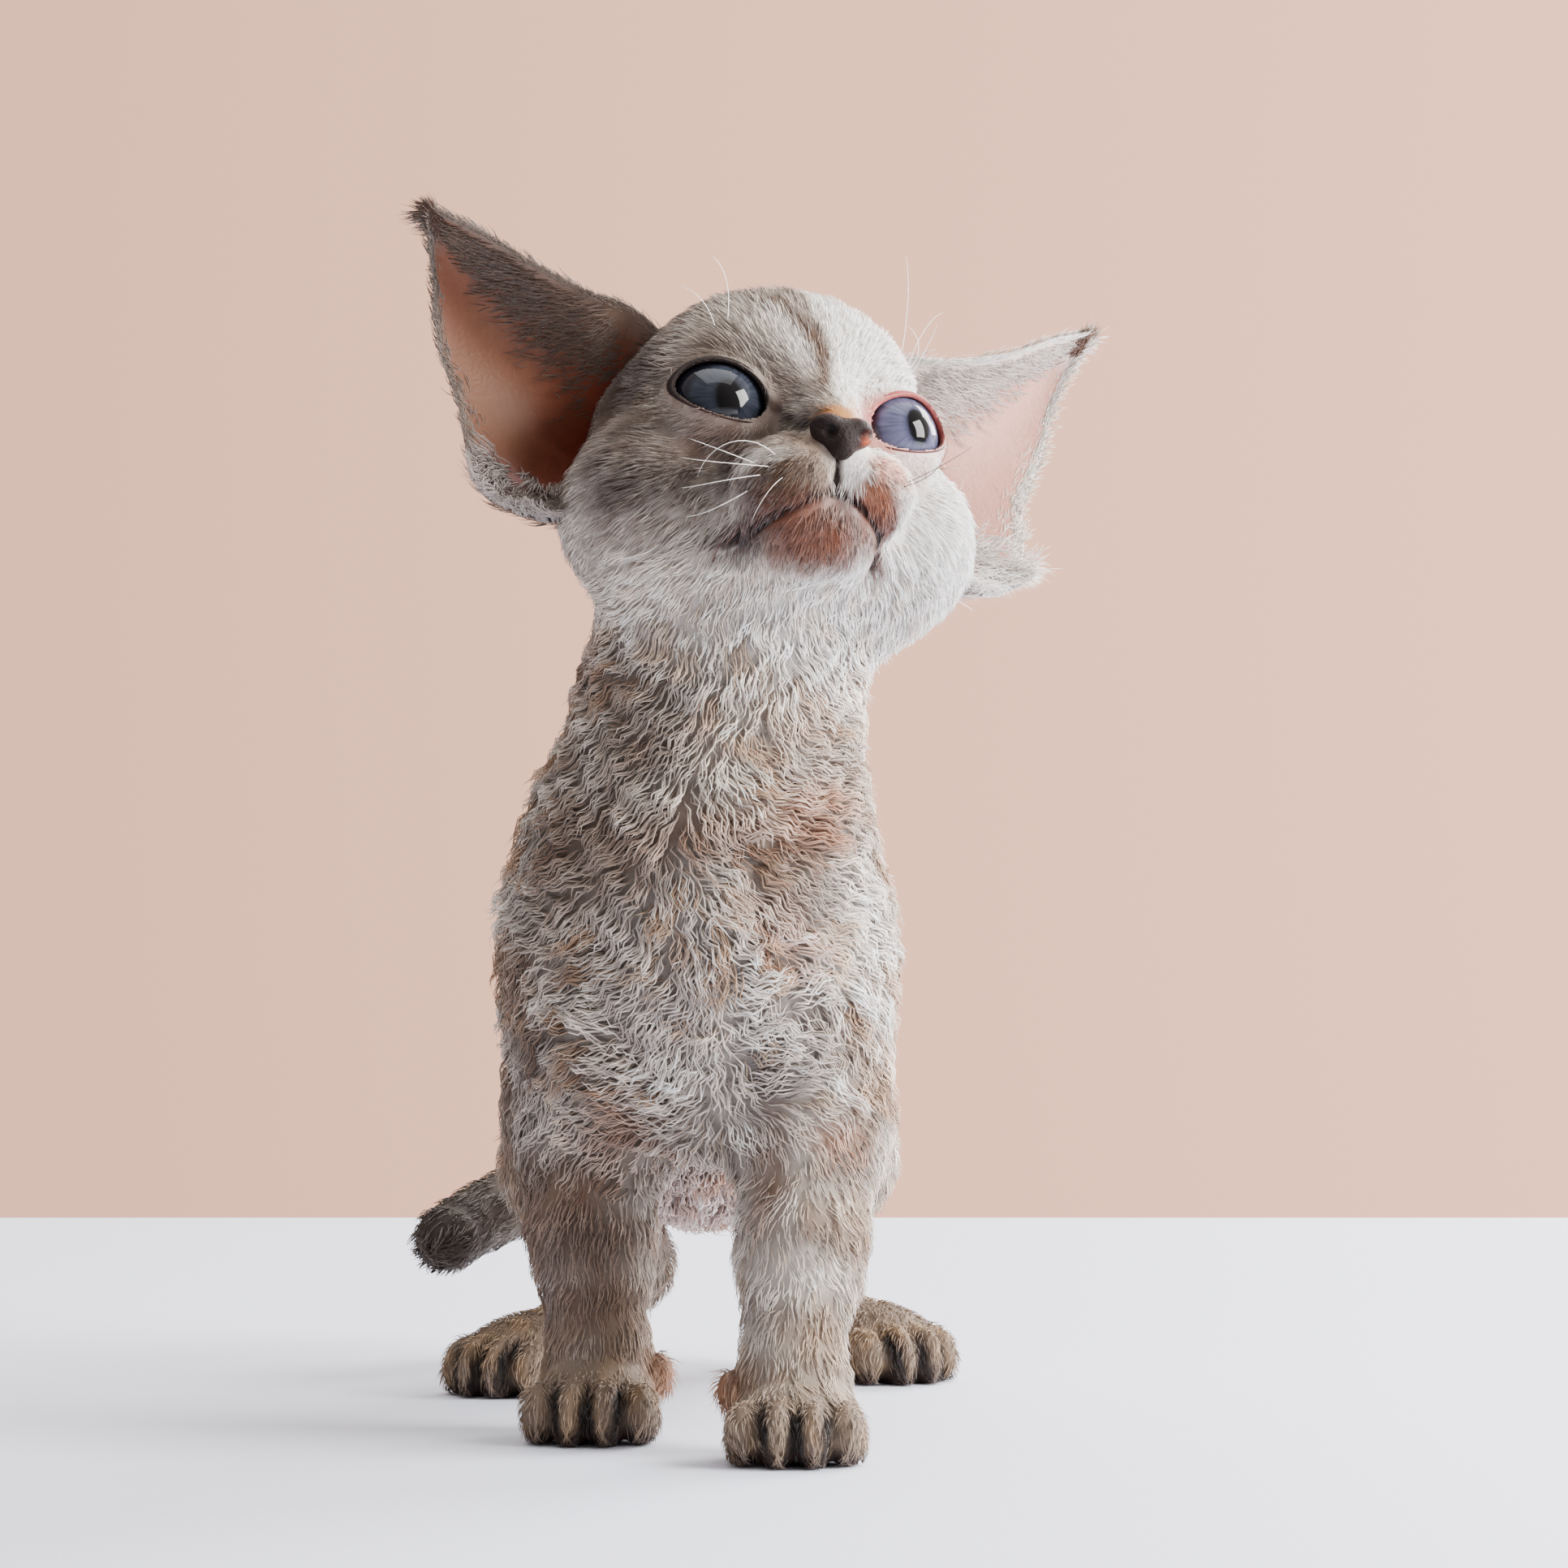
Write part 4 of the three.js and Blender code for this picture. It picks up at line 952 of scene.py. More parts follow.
def lid_rim(name, side):
    """A soft rim round the opening of the lids, pink on the left eye and dark on the right."""
    steps, spokes = 96, 10
    angles = np.linspace(0, 2 * math.pi, steps, endpoint=False)
    broad = 0.066 + 0.03 * np.sin(angles)
    rows = []
    for a in np.linspace(0, 2 * math.pi, spokes, endpoint=False):
        grow_by = 1.02 + broad * (1 + math.sin(a)) - 0.04
        rows.append(from_head(almond(side, angles, EYE_RADIUS + 0.55 + 0.45 * math.cos(a), grow_by)))
    ring = np.stack(rows, 1).reshape(-1, 3)
    tilt = np.repeat(np.sin(angles), spokes)
    paint, over, amount = (
        (LID_PINK, LID_DARK, 0.35 + 0.5 * smooth(0.3, -0.6, tilt)) if side > 0
        else (LID_DARK, shade(70, 48, 44), 0.4 * smooth(-0.3, -1, tilt))
    )
    quads = ring_quads(steps, steps, spokes)
    colour = tint(np.tile(paint, (len(ring), 1)), over, amount)
    return mesh_object("lid_rim_" + name, ring, quads[:, ::-side], colour=colour)


EYE = painted("eye_wet", 0.5, 0.06, 800.0, 0, 0, Coat_Weight=0.7, Coat_Roughness=0.02, Specular_IOR_Level=0.0)
for name, side in SIDES:
    eye = eyeball(name, side)
    eye.data.materials.append(EYE)
    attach(eye, "root")
    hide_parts("eye_" + name)
    rim = lid_rim(name, side)
    rim.data.materials.append(LID_SKIN)
    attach(rim, "root")

# Nose leather, with its nostrils

def nose_skin(p):
    d = nose_pad(p)
    k = 0.5
    for _, side in SIDES:
        hole = blend(0.4, limb(flip([1.7, -34.2, -7.7], side), flip([2.7, -32.6, -7.5], side), 0.75, 0.7),
                     limb(flip([2.7, -32.8, -7.5], side), flip([4.6, -31.6, -6.6], side), 0.6, 0.35))
        cut = -hole(p)
        mixed = np.maximum(k - np.abs(d - cut), 0) / k
        d = np.maximum(d, cut) + mixed * mixed * k / 4
    return d


nose_points, nose_quads = surface_net(nose_skin, [-7, -36, -14], [7, -26, -2.5], 0.28)
nose_points = drawn_on(nose_skin, nose_points, 0.1, 2)
to_nostrils = [np.linalg.norm(nose_points - flip([2.3, -33.0, -7.6], side), axis=1) for _, side in SIDES]
# The nostrils are painted near black, as painted shade inside them
nose_colour = layered(np.tile(shade(34, 24, 22), (len(nose_points), 1)), (
    (shade(8, 5, 5), np.exp(-np.minimum(*to_nostrils) ** 2 / 1.1)),
    (shade(196, 92, 58), np.exp(-((nose_points - [3.9, -32.3, -8.2]) ** 2).sum(1) / 0.9)),
    (shade(120, 80, 62), smooth(-5.4, -4.4, nose_points[:, 2]) * 0.7),
))
nose = mesh_object("nose_leather_pad", from_head(nose_points), nose_quads, colour=nose_colour)
nose.data.materials.append(LEATHER)
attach(nose, "root")
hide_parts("nose")

# Ears

EAR_STEPS = np.linspace(0, 1, 241)
EAR_EDGES = [np.array([curve_point(edge, t) for t in EAR_STEPS]) for edge in (EAR_INNER_EDGE, EAR_OUTER_EDGE)]


def ear_point(side, u, v):
    inner, outer = (
        np.stack([np.interp(v, EAR_STEPS, edge[:, i]) for i in range(3)], 1)
        for edge in EAR_EDGES
    )
    chord = outer - inner
    width = np.linalg.norm(chord, axis=1)
    belly = np.sin(np.pi * np.clip(u, 0, 1)) ** 0.8
    depth = (0.5 - 0.22 * v) * width * belly
    return (inner + chord * u[:, None] + depth[:, None] * np.array([-0.5, 0.86, 0.1])) * [side, 1, 1]


def ear_frame(side, u, v):
    """Places on an ear, the ways across and along it there, and the way into its cup."""
    du = ear_point(side, np.minimum(u + 0.01, 1), v) - ear_point(side, np.maximum(u - 0.01, 0), v)
    dv = ear_point(side, u, np.minimum(v + 0.01, 1)) - ear_point(side, u, np.maximum(v - 0.01, 0))
    return ear_point(side, u, v), du, dv, unit(np.cross(du, dv)) * side


def from_ear_edge(u, v):
    """0 on an ear's edge and 1 in its middle, for the thickness of its skin."""
    return np.sqrt(np.clip(np.sin(np.pi * u) * np.minimum(1, 3 * (1 - v)), 0, 1))


# Pale and deep colours of the skin in the cup, and the fur's. On the right ear the pale colour is darkened as
# painted shade, and the deep red-orange at the base of the cup is a painted glow of light through the ear.
EAR_COLOURS = {
    "left": (shade(200, 150, 134), shade(200, 118, 98), shade(224, 212, 202)),
    "right": (shade(120, 78, 56), shade(140, 38, 22), shade(120, 100, 86)),
}


def ear_skin_colours(name, p, u, v, pocket):
    """The colours of an ear in its cup and on its back."""
    pale, deep, fur = EAR_COLOURS[name]
    n = noise(p, 6, 11)
    in_cup = smooth(0.5, 0.0, v) * smooth(0.0, 0.3, u) * smooth(1.0, 0.6, u) + 0.25 * n * n
    near_rim = 1 - smooth(0.02, 0.14, np.minimum(np.minimum(u, (1 - u) * 3), (1 - v) * 1.2))
    # On the right ear, the pale colour holds painted shade and the deep one a painted glow of light through
    # the skin
    cup = layered(np.tile(pale, (len(p), 1)), (
        (deep, in_cup),
        (fur, near_rim * 0.9),
        (shade(150, 116, 118), np.clip(pocket * 1.2, 0, 1) * 0.6),
    ))
    return cup, tint(np.tile(fur, (len(p), 1)), pale, 0.12 + 0.2 * n)


def sheet_quads(across, along):
    """The faces of a closed sheet: its front, its back, with points after the front's, and its edges."""
    count = across * along
    j, i = np.meshgrid(np.arange(along - 1), np.arange(across - 1), indexing="ij")
    front = (j * across + i).reshape(-1, 1) + [0, 1, across + 1, across]
    left, low = np.arange(along) * across, np.arange(across)
    edges = []
    for line, way in ((left, 1), (left + across - 1, -1), (low, -1), (low + (along - 1) * across, 1)):
        edges.append(np.stack([line[:-1], line[1:], line[1:] + count, line[:-1] + count], 1)[:, ::way])
    return np.concatenate([front, front[:, ::-1] + count, *edges])


for name, side in SIDES:
    across, along = ((64, 76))
    u, v = (w.ravel() for w in np.meshgrid(np.linspace(0, 1, across), np.linspace(0, 1, along)))
    p, _, _, inward = ear_frame(side, u, v)
    thick = 0.35 + 0.75 * from_ear_edge(u, v)
    # Folds inside the cup, and the pocket low on its outer edge
    fold = 1.1 * np.exp(-((u - 0.62 - 0.12 * v) / 0.05) ** 2) * smooth(0.02, 0.12, v) * smooth(0.5, 0.25, v)
    fold += 0.8 * np.exp(-((u - 0.36 + 0.1 * v) / 0.06) ** 2) * smooth(0.42, 0.2, v)
    pocket = np.exp(-((u - 0.9) / 0.07) ** 2 - ((v - 0.27) / 0.1) ** 2)
    pocket_way = np.array([side * 1.2, -0.6, 0])
    front = p + inward * (0.45 + thick + fold)[:, None] + (inward * 1.6 + pocket_way) * pocket[:, None]
    back = p + inward * 0.45 + (inward * 0.6 + pocket_way) * pocket[:, None]
    colour = np.concatenate(ear_skin_colours(name, p, u, v, pocket))
    quads = sheet_quads(across, along)[:, ::side]
    ear = mesh_object("ear_sheet_" + name, from_head(np.concatenate([front, back])), quads, colour=colour)
    ear.data.materials.append(EAR_SKIN)
    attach(ear, "root")
    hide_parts("ear_" + name)


# The coat

def nearest_tail_point(p):
    return np.argmin(np.stack([np.linalg.norm(p - t, axis=1) for t in tail_points]), 0)


def round_from(x, y):
    """How far round a place is from the way back, from 0 to 1."""
    return np.arctan2(x, y) / (2 * math.pi) + 0.5


def on_sheet(cell, u, v):
    """A place in one of the nine cells of a square sheet."""
    corner = np.stack([cell % 3, cell // 3], -1)
    return (corner + 0.04 + 0.92 * np.stack([u, v], 1)) / 3


def atlas(p, region):
    """A place on an unwrap of the skin: head, neck, trunk, tail and each leg have a cell of the sheet."""
    d = unit(to_head(p) - [0, -2, -4])
    head = on_sheet(0, round_from(d[:, 0], -d[:, 1]), np.arcsin(np.clip(d[:, 2], -1, 1)) / math.pi + 0.5)
    trunk_place = on_sheet(1, round_from(p[:, 0], p[:, 2] - 60), (np.clip(p[:, 1], 20, 128) + 20) / 160)
    neck_place = on_sheet(2, round_from(p[:, 0], 29 - p[:, 1]), np.clip((p[:, 2] - 95) / 60, 0, 1))
    body = np.where(p[:, 2:] > 95, neck_place, trunk_place)
    left, fore = p[:, 0] > 0, p[:, 1] < 60
    x = p[:, 0] - np.where(left, 17, -17)
    y = np.where(fore, np.where(left, 8, 32), np.where(left, 112, 98)) - p[:, 1]
    leg_cell = 3 + left.astype(int) + 2 * fore.astype(int)
    legs = on_sheet(leg_cell, round_from(x, y), np.clip(p[:, 2] / 80, 0, 1))
    k = nearest_tail_point(p)
    d = p - np.array(tail_points)[k]
    tail_place = on_sheet(7, round_from(d[:, 2], d[:, 0] + d[:, 1]), k / len(tail_points))
    places = {"head": head, "muzzle": head, "ruff": head, "neck": body, "trunk": body, "tail": tail_place}
    return np.stack([places.get(name, legs) for name in REGION_NAMES])[region, np.arange(len(p))]


FACES_IN_PIECE = 190_000
TUFT_PATCH = 0.0026


def strand_mesh(name, spine, width, up, colour, place, material, slot):
    """Closed three-sided hairs. spine is hairs by points by 3, and width is half a hair's width there."""
    hairs, count, _ = spine.shape
    rings = count - 1
    tangent = unit(np.gradient(spine, axis=1))
    side = unit(np.cross(tangent, up[:, None, :]))
    over = np.cross(side, tangent)
    tip = 3 * rings
    verts = np.empty((hairs, tip + 1, 3))
    paint = np.empty((hairs, tip + 1, 3))
    for j in range(3):
        a = 2 * math.pi * j / 3 + math.pi / 2
        out = math.cos(a) * over[:, :rings] * 0.6 + math.sin(a) * side[:, :rings]
        verts[:, j:tip:3] = spine[:, :rings] + out * width[:, :rings, None]
        paint[:, j:tip:3] = colour[:, :rings]
    verts[:, tip] = spine[:, -1]
    paint[:, tip] = colour[:, -1]
    faces, sizes = [], [4] * (tip - 3) + [3] * 4
    for k in range(0, tip - 3, 3):
        for j in range(3):
            first, second = k + j, k + (j + 1) % 3
            faces += [first, second, second + 3, first + 3]
    for j in range(3):
        faces += [tip - 3 + j, tip - 3 + (j + 1) % 3, tip]
    faces = np.array(faces + [2, 1, 0])
    patch_u = np.where(faces == tip, 0, (faces % 3 - 1) / 2)
    patch = np.stack([patch_u, faces // 3 / rings - 0.5], 1) * TUFT_PATCH
    per_hair = 6 * (rings - 1) + 4
    parts = max(1, math.ceil(hairs / (FACES_IN_PIECE // per_hair)))
    for part in range(parts):
        rows = slice(part * hairs // parts, (part + 1) * hairs // parts)
        n = rows.stop - rows.start
        corners = (faces[None, :] + (np.arange(n) * (tip + 1))[:, None]).ravel()
        uv = (place[rows][:, None, :] + patch[None]).reshape(-1, 2)
        title = name if parts == 1 else f"{name}_{part + 1}"
        points, colours = verts[rows].reshape(-1, 3), paint[rows].reshape(-1, 3)
        made = mesh_object(title, points, corners, np.tile(sizes, n), colours, uv)
        made.data.materials.append(material)
        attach(made, "root")


# Roots: picked on the skin, closer where the coat is finer
starts = np.cumsum(skin_sizes) - skin_sizes
first_half = starts[:, None] + [0, 1, 2]
second_half = starts[skin_sizes == 4][:, None] + [0, 2, 3]
triangles = skin_corners[np.concatenate([first_half, second_half])]
a, b, c = (skin_points[triangles[:, i]] for i in range(3))
areas = np.linalg.norm(np.cross(b - a, c - a), axis=1) / 2
centres = (a + b + c) / 3
centres_on_head = to_head(centres)
density = by_region(region_weights(centres), "dense") * (1 + 0.8 * face_bareness(centres_on_head))
density *= (nearest_reach(centres_on_head) > 1.08) & (nose_pad(centres_on_head) > 0.35)
density *= centres[:, 2] > 1.0
in_ear = np.zeros(len(centres), bool)
for _, side in SIDES:
    e = centres_on_head * [side, 1, 1]
    in_ear |= (((e - [27, 1, 1]) / [7, 7.5, 10]) ** 2).sum(1) < 1
density[in_ear] *= 0.35
density *= 1 + 1.1 * glow(centres, [3, 2, 72], [12, 12, 22])
expected = np.cumsum(areas * density) * STRANDS
picks = np.searchsorted(expected, np.arange(0, expected[-1]) + rng.random(int(math.ceil(expected[-1]))) * 0.9)
picks = picks[picks < len(triangles)]
r1, r2 = rng.random(len(picks)), rng.random(len(picks))
over_edge = r1 + r2 > 1
r1[over_edge], r2[over_edge] = 1 - r1[over_edge], 1 - r2[over_edge]
roots = a[picks] + (b - a)[picks] * r1[:, None] + (c - a)[picks] * r2[:, None]
root_weights = region_weights(roots)
root_normals = unit(slope_of(skin_field, roots))
root_bare = face_bareness(to_head(roots))


def lie_of(p, weights):
    """The way the coat lies: back from the nose, down and out over neck and chest, back along the trunk."""
    h = to_head(p)
    w = {name: weights[:, i:i + 1] for i, name in enumerate(REGION_NAMES)}
    from_nose = unit(h - [0, -33, -5]) + np.array([0, 0.35, 0])
    from_nose = from_nose - np.array([0, 0, 0.25]) * smooth(2, -12, h[:, 2])[:, None]
    head_way = unit(from_nose) @ HEAD_TURN.T
    zero = np.zeros(len(p))
    ruff_way = unit(np.stack([0.03 * h[:, 0], 0.5 + zero, zero - 0.8], 1)) @ HEAD_TURN.T
    front = smooth(36, 16, p[:, 1])
    outward = np.clip((p[:, 0] - 2 + 12 * (noise(p, 8, 35) - 0.5)) / 14, -1, 1)
    neck_way = np.stack([0.95 * outward, 0.4 - 0.5 * front, zero - 0.6], 1)
    trunk_way = np.stack([1.2 * outward * front, 0.85 - 0.75 * front, -0.45 - 0.1 * front], 1)
    tail_near = nearest_tail_point(p)
    tail_ways = unit(np.gradient(np.array(tail_points), axis=0))
    return (
        (w["head"] + w["muzzle"]) * head_way
        + w["ruff"] * ruff_way
        + w["neck"] * neck_way
        + w["trunk"] * trunk_way
        + w["thigh"] * np.array([0, 0.55, -0.8])
        + w["foreleg"] * np.array([0, 0.25, -1])
        + w["foot"] * np.array([0, -0.7, -0.7])
        + w["tail"] * tail_ways[tail_near]
    )


def tangent_to(way, normal):
    return unit(way - (way * normal).sum(1, keepdims=True) * normal)


def locks_of(p, count):
    """The lock of each root: the nearest of count roots that are picked at random."""
    picked = rng.choice(len(p), max(1, count), replace=False)
    tree = KDTree(len(picked))
    for k, i in enumerate(picked):
        tree.insert(p[i], k)
    tree.balance()
    return picked, np.array([tree.find(q)[1] for q in p])


WAVE = 4.6


def ripple(p):
    """How far down and out a place lies, so that the waves of the coat run in rows across the body."""
    return 0.6 * p[:, 1] - 0.6 * p[:, 2] + 0.5 * np.abs(p[:, 0] - 2) * smooth(36, 16, p[:, 1])


def lock_colours(p, n, w, curl, draw, s, angle):
    """The colour at each point of each hair: the markings, darker at the root, partly for taupe roots and
    partly as painted shade among the locks, and with painted shade in the waves' troughs.
    """
    short = 1 - smooth(0.1, 0.5, curl)
    light = 1 + (0.32 + 0.36 * curl) * (draw[:, 2] - 0.5)
    light = light * (1 + (0.22 + 0.5 * short) * (rng.random(len(p)) - 0.5))
    base = body_colour(p + n * by_region(w, "depth")[:, None])
    base = tint(base, base * WARM_LOCK, curl * smooth(0.55, 0.95, draw[:, 4]))
    # Darker towards the root: a taupe tint, and painted shade among the locks
    under = tint(base * 0.5, DEEP_TAUPE, 0.3 * curl)
    rise = smooth(0, 0.6, s)[None, :, None]
    colour = (under[:, None] + (base - under)[:, None] * rise) * light[:, None, None]
    # Painted shade in the troughs of the waves, tinted brown
    trough = (0.85 * curl[:, None] * (0.5 - 0.5 * np.sin(angle)))[..., None]
    colour += (0.34 * base[:, None] + 0.32 * TROUGH_SHADE_BROWN - colour) * trough
    return np.clip(colour * (1.2 + 0.1 * (s[None, :, None] > 0.7)), 0, 0.94)


def grow(name, chosen, count, hairs_in_lock, gather, slot="coat"):
    """Grows the hairs of the chosen roots, of count points each, in locks that share a wave and a tip."""
    p, n, w = roots[chosen], root_normals[chosen], root_weights[chosen]
    total = len(p)
    curl = by_region(w, "curl")
    guides, lock = locks_of(p, total // hairs_in_lock)
    lead = guides[lock]
    draw = rng.random((len(guides), 5))[lock]
    length = by_region(w, "length") * (1 - 0.6 * root_bare[chosen])
    length *= (0.8 + 0.4 * draw[:, 0]) * (0.85 + 0.3 * rng.random(total))
    width = by_region(w, "width") * (0.75 + 0.5 * rng.random(total)) * (1 - 0.3 * root_bare[chosen])
    width /= math.sqrt(STRANDS)
    way = tangent_to(lie_of(p, w), n)
    over_eye = nearest_reach(to_head(p + way * length[:, None])) < 1.05
    length[over_eye] *= 0.3
    # Which way each hair heads. The chest's middle is the most tousled.
    across = np.cross(n, way)
    tight = curl * glow(p, [5, 4, 68], [11, 14, 20])
    turn = (noise(p, 10, 31) - 0.5) * (0.3 + 0.9 * curl + 2.4 * tight)
    # A part of the hairs are an undercoat, shorter and loose, that fills the gaps between the locks
    loose = rng.random(total) < 0.25 * smooth(0.3, 0.6, curl)
    length[loose] *= 0.72
    turn[loose] += 1.1 * (rng.random(loose.sum()) - 0.5)
    own_turn = (rng.random(total) - 0.5) * (0.35 - 0.1 * curl)
    turn += (draw[:, 1] - 0.5) * (0.25 + 0.35 * curl + 1.6 * tight) + own_turn
    heading = way * np.cos(turn)[:, None] + across * np.sin(turn)[:, None]
    beside = np.cross(n, heading)
    # Waves along the hair, in step with its neighbours'
    s = np.linspace(0, 1, count)
    phase = 2 * math.pi * (ripple(p) / WAVE + 1.1 * noise(p, 9, 33) + (0.12 + 0.5 * tight) * draw[:, 2])
    angle = phase[:, None] + 2 * math.pi * length[:, None] * s / WAVE
    wave = curl[:, None] * smooth(0, 0.3, s) * (1 - 0.2 * s)
    lift = by_region(w, "lift") * (0.8 + 0.4 * draw[:, 3])
    height = (lift * length)[:, None] * (s - 0.62 * s * s) + 0.62 * wave * np.sin(angle)
    ahead = length[:, None] * s * (0.96 - 0.1 * curl[:, None])
    hook = (curl * length * 0.1 * (draw[:, 4] - 0.3))[:, None] * smooth(0.6, 1, s)
    sway = (0.5 + 0.25 * tight[:, None]) * wave * np.cos(angle) + 1.6 * hook
    spine = (p - n * 0.3)[:, None] + heading[:, None] * ahead[..., None]
    spine += n[:, None] * (height + hook)[..., None] + beside[:, None] * sway[..., None]
    pull = gather * ((0.6 + 0.4 * draw[:, 3]) * ~loose)[:, None] * smooth(0.1, 1, s)
    spine += (p[lead] - p)[:, None] * pull[..., None]
    spine[..., 2] = np.maximum(spine[..., 2], 0.3)
    taper = np.sqrt(np.clip(1 - s ** 2.4, 0, 1)) * (0.7 + 0.3 * np.sin(math.pi * s))
    colour = lock_colours(p, n, w, curl, draw, s, angle)
    strand_mesh(name, spine, width[:, None] * taper, n, colour, atlas(p, np.argmax(w, 1)), FUR, slot)


curl_at = by_region(root_weights, "curl")
on_points = root_weights[:, REGION_NAMES.index("foot")] > 0.5
wavy = curl_at > 0.62
soft = (curl_at > 0.25) & ~wavy
short = ~wavy & ~soft
grow("coat_waves", np.nonzero(wavy)[0], count=5, hairs_in_lock=16, gather=0.6)
grow("coat_soft", np.nonzero(soft)[0], count=4, hairs_in_lock=8, gather=0.3)
grow("coat_short", np.nonzero(short & ~on_points)[0], count=3, hairs_in_lock=6, gather=0.22)
grow("coat_feet", np.nonzero(short & on_points)[0], count=3, hairs_in_lock=5, gather=0.15, slot="coat_points")

# Fur of the ears: short on the back, longer on a band inside the edge towards the head, and a tuft at the tip

def ear_hair(name, side, part, u, v, face, lean, length, width, colour, curl=0.0, count=3, lift=0.42):
    """Hairs on an ear. face is -1 on its back and 1 in its cup. lean turns them from tip to outer edge."""
    p, du, dv, inward = ear_frame(side, u, v)
    n = inward * face
    way = unit(dv) * np.cos(lean)[:, None] + unit(du) * np.sin(lean)[:, None]
    way = tangent_to(way + 0.22 * rng.standard_normal((len(u), 3)), n)
    s = np.linspace(0, 1, count)
    rise = np.full(len(u), 0.3) if face < 0 else 0.5 + 0.7 * from_ear_edge(u, v)
    root = p + inward * rise[:, None]
    beside = np.cross(n, way)
    bend = 0.22 * length * (noise(p, 4, 51) - 0.5)
    spine = root[:, None] + way[:, None] * (length[:, None] * s)[..., None]
    spine += n[:, None] * (length[:, None] * lift * (s - 0.6 * s * s))[..., None]
    spine += beside[:, None] * (bend[:, None] * np.sin(s * 3))[..., None]
    phase = 9 * noise(p, 3, 53)[:, None] + 6 * s
    coil = np.sin(phase)[..., None] * beside[:, None] + np.cos(phase)[..., None] * n[:, None]
    spine += curl * s[:, None] * coil
    tone = (0.78 + 0.3 * noise(p, 5, 41))[:, None] * (0.85 + 0.3 * rng.random((len(u), 1)))
    shades = np.clip(colour * tone, 0, 0.93)[:, None] * np.linspace(0.75, 1.08, count)[None, :, None]
    taper = np.sqrt(np.clip(1 - s ** 2, 0, 1)) * width / math.sqrt(STRANDS)
    # Each ear's front and back have a quarter of a cell in the sheet's last column: the backs in the last
    # cell, the fronts in the half of the right foreleg's cell next to it
    corner = np.array([2 + 0.5 * (side < 0), 1.5 + 0.5 * (face < 0)])
    place = (corner + 0.02 + 0.46 * np.stack([u, v], 1)) / 3
    strand_mesh(f"coat_ear_{name}_{part}", from_head(spine), np.tile(taper, (len(u), 1)), n @ HEAD_TURN.T,
                shades, place, FUR, "coat")


for name, side in SIDES:
    dark = shade(114, 92, 76) if side < 0 else shade(206, 192, 182)
    rim_paint = shade(150, 132, 120) if side < 0 else shade(232, 224, 216)
    back_paint = shade(150, 134, 122) if side < 0 else shade(206, 196, 188)
    many = int(2700 * STRANDS)
    u, v = rng.random(many), rng.random(many)
    ear_hair(name, side, "back", u, v, -1, 0.3 * (u - 0.5), 2.2 + 1.4 * rng.random(many), 0.12, back_paint)
    many = int(2600 * STRANDS)
    v = rng.random(many) ** 1.15
    u = np.abs(rng.standard_normal(many)) * (0.17 - 0.06 * v) + 0.005
    u = np.where(u > 0.7, 0.1, u)
    ear_hair(name, side, "band", u, v, 1, 0.5 + 0.3 * rng.random(many),
             3.6 + 2.6 * rng.random(many), 0.11, dark)
    many = int(1250 * STRANDS)
    v = rng.random(many)
    u = 1 - np.abs(rng.standard_normal(many)) * 0.045
    ear_hair(name, side, "edge", np.clip(u, 0.7, 0.999), v, 1, 1.3 * rng.random(many) - 0.3,
             1.8 + 1.4 * rng.random(many), 0.1, rim_paint)
    many = int(1250 * STRANDS)
    v = rng.random(many)
    ear_hair(name, side, "fringe", 0.02 * rng.random(many), v, 1, 0.9 * rng.random(many) - 1.0,
             1.4 + 1.6 * rng.random(many), 0.08, shade(150, 130, 114) if side < 0 else shade(236, 230, 224))
    many = int(360 * STRANDS)
    v = 1 - np.abs(rng.standard_normal(many)) * 0.035
    ear_hair(name, side, "tip", rng.random(many), np.clip(v, 0.8, 0.999), 1, 0.6 * (rng.random(many) - 0.5),
             2.4 + 1.8 * rng.random(many), 0.1, shade(104, 74, 60), 0.5)
    # The pocket's curls, in tufts that stand out beyond the ear's edge
    tufts, hairs_each = 84, int(20 * STRANDS)
    u = np.repeat(1 - 0.2 * rng.random(tufts) ** 1.4, hairs_each)
    v = np.repeat(0.36 * rng.random(tufts) ** 1.2, hairs_each)
    lean = np.repeat(1.9 - 1.3 * rng.random(tufts), hairs_each)
    long = np.repeat(4.6 + 3.6 * rng.random(tufts), hairs_each)
    many = len(u)
    u = np.clip(u + 0.018 * rng.standard_normal(many), 0.5, 0.999)
    v = np.clip(v + 0.014 * rng.standard_normal(many), 0.001, 0.5)
    ear_hair(name, side, "pocket", u, v, 1, lean, long * (0.8 + 0.3 * rng.random(many)), 0.12,
             shade(190, 176, 168) if side < 0 else shade(244, 236, 230), 1.0, 5, 0.85)

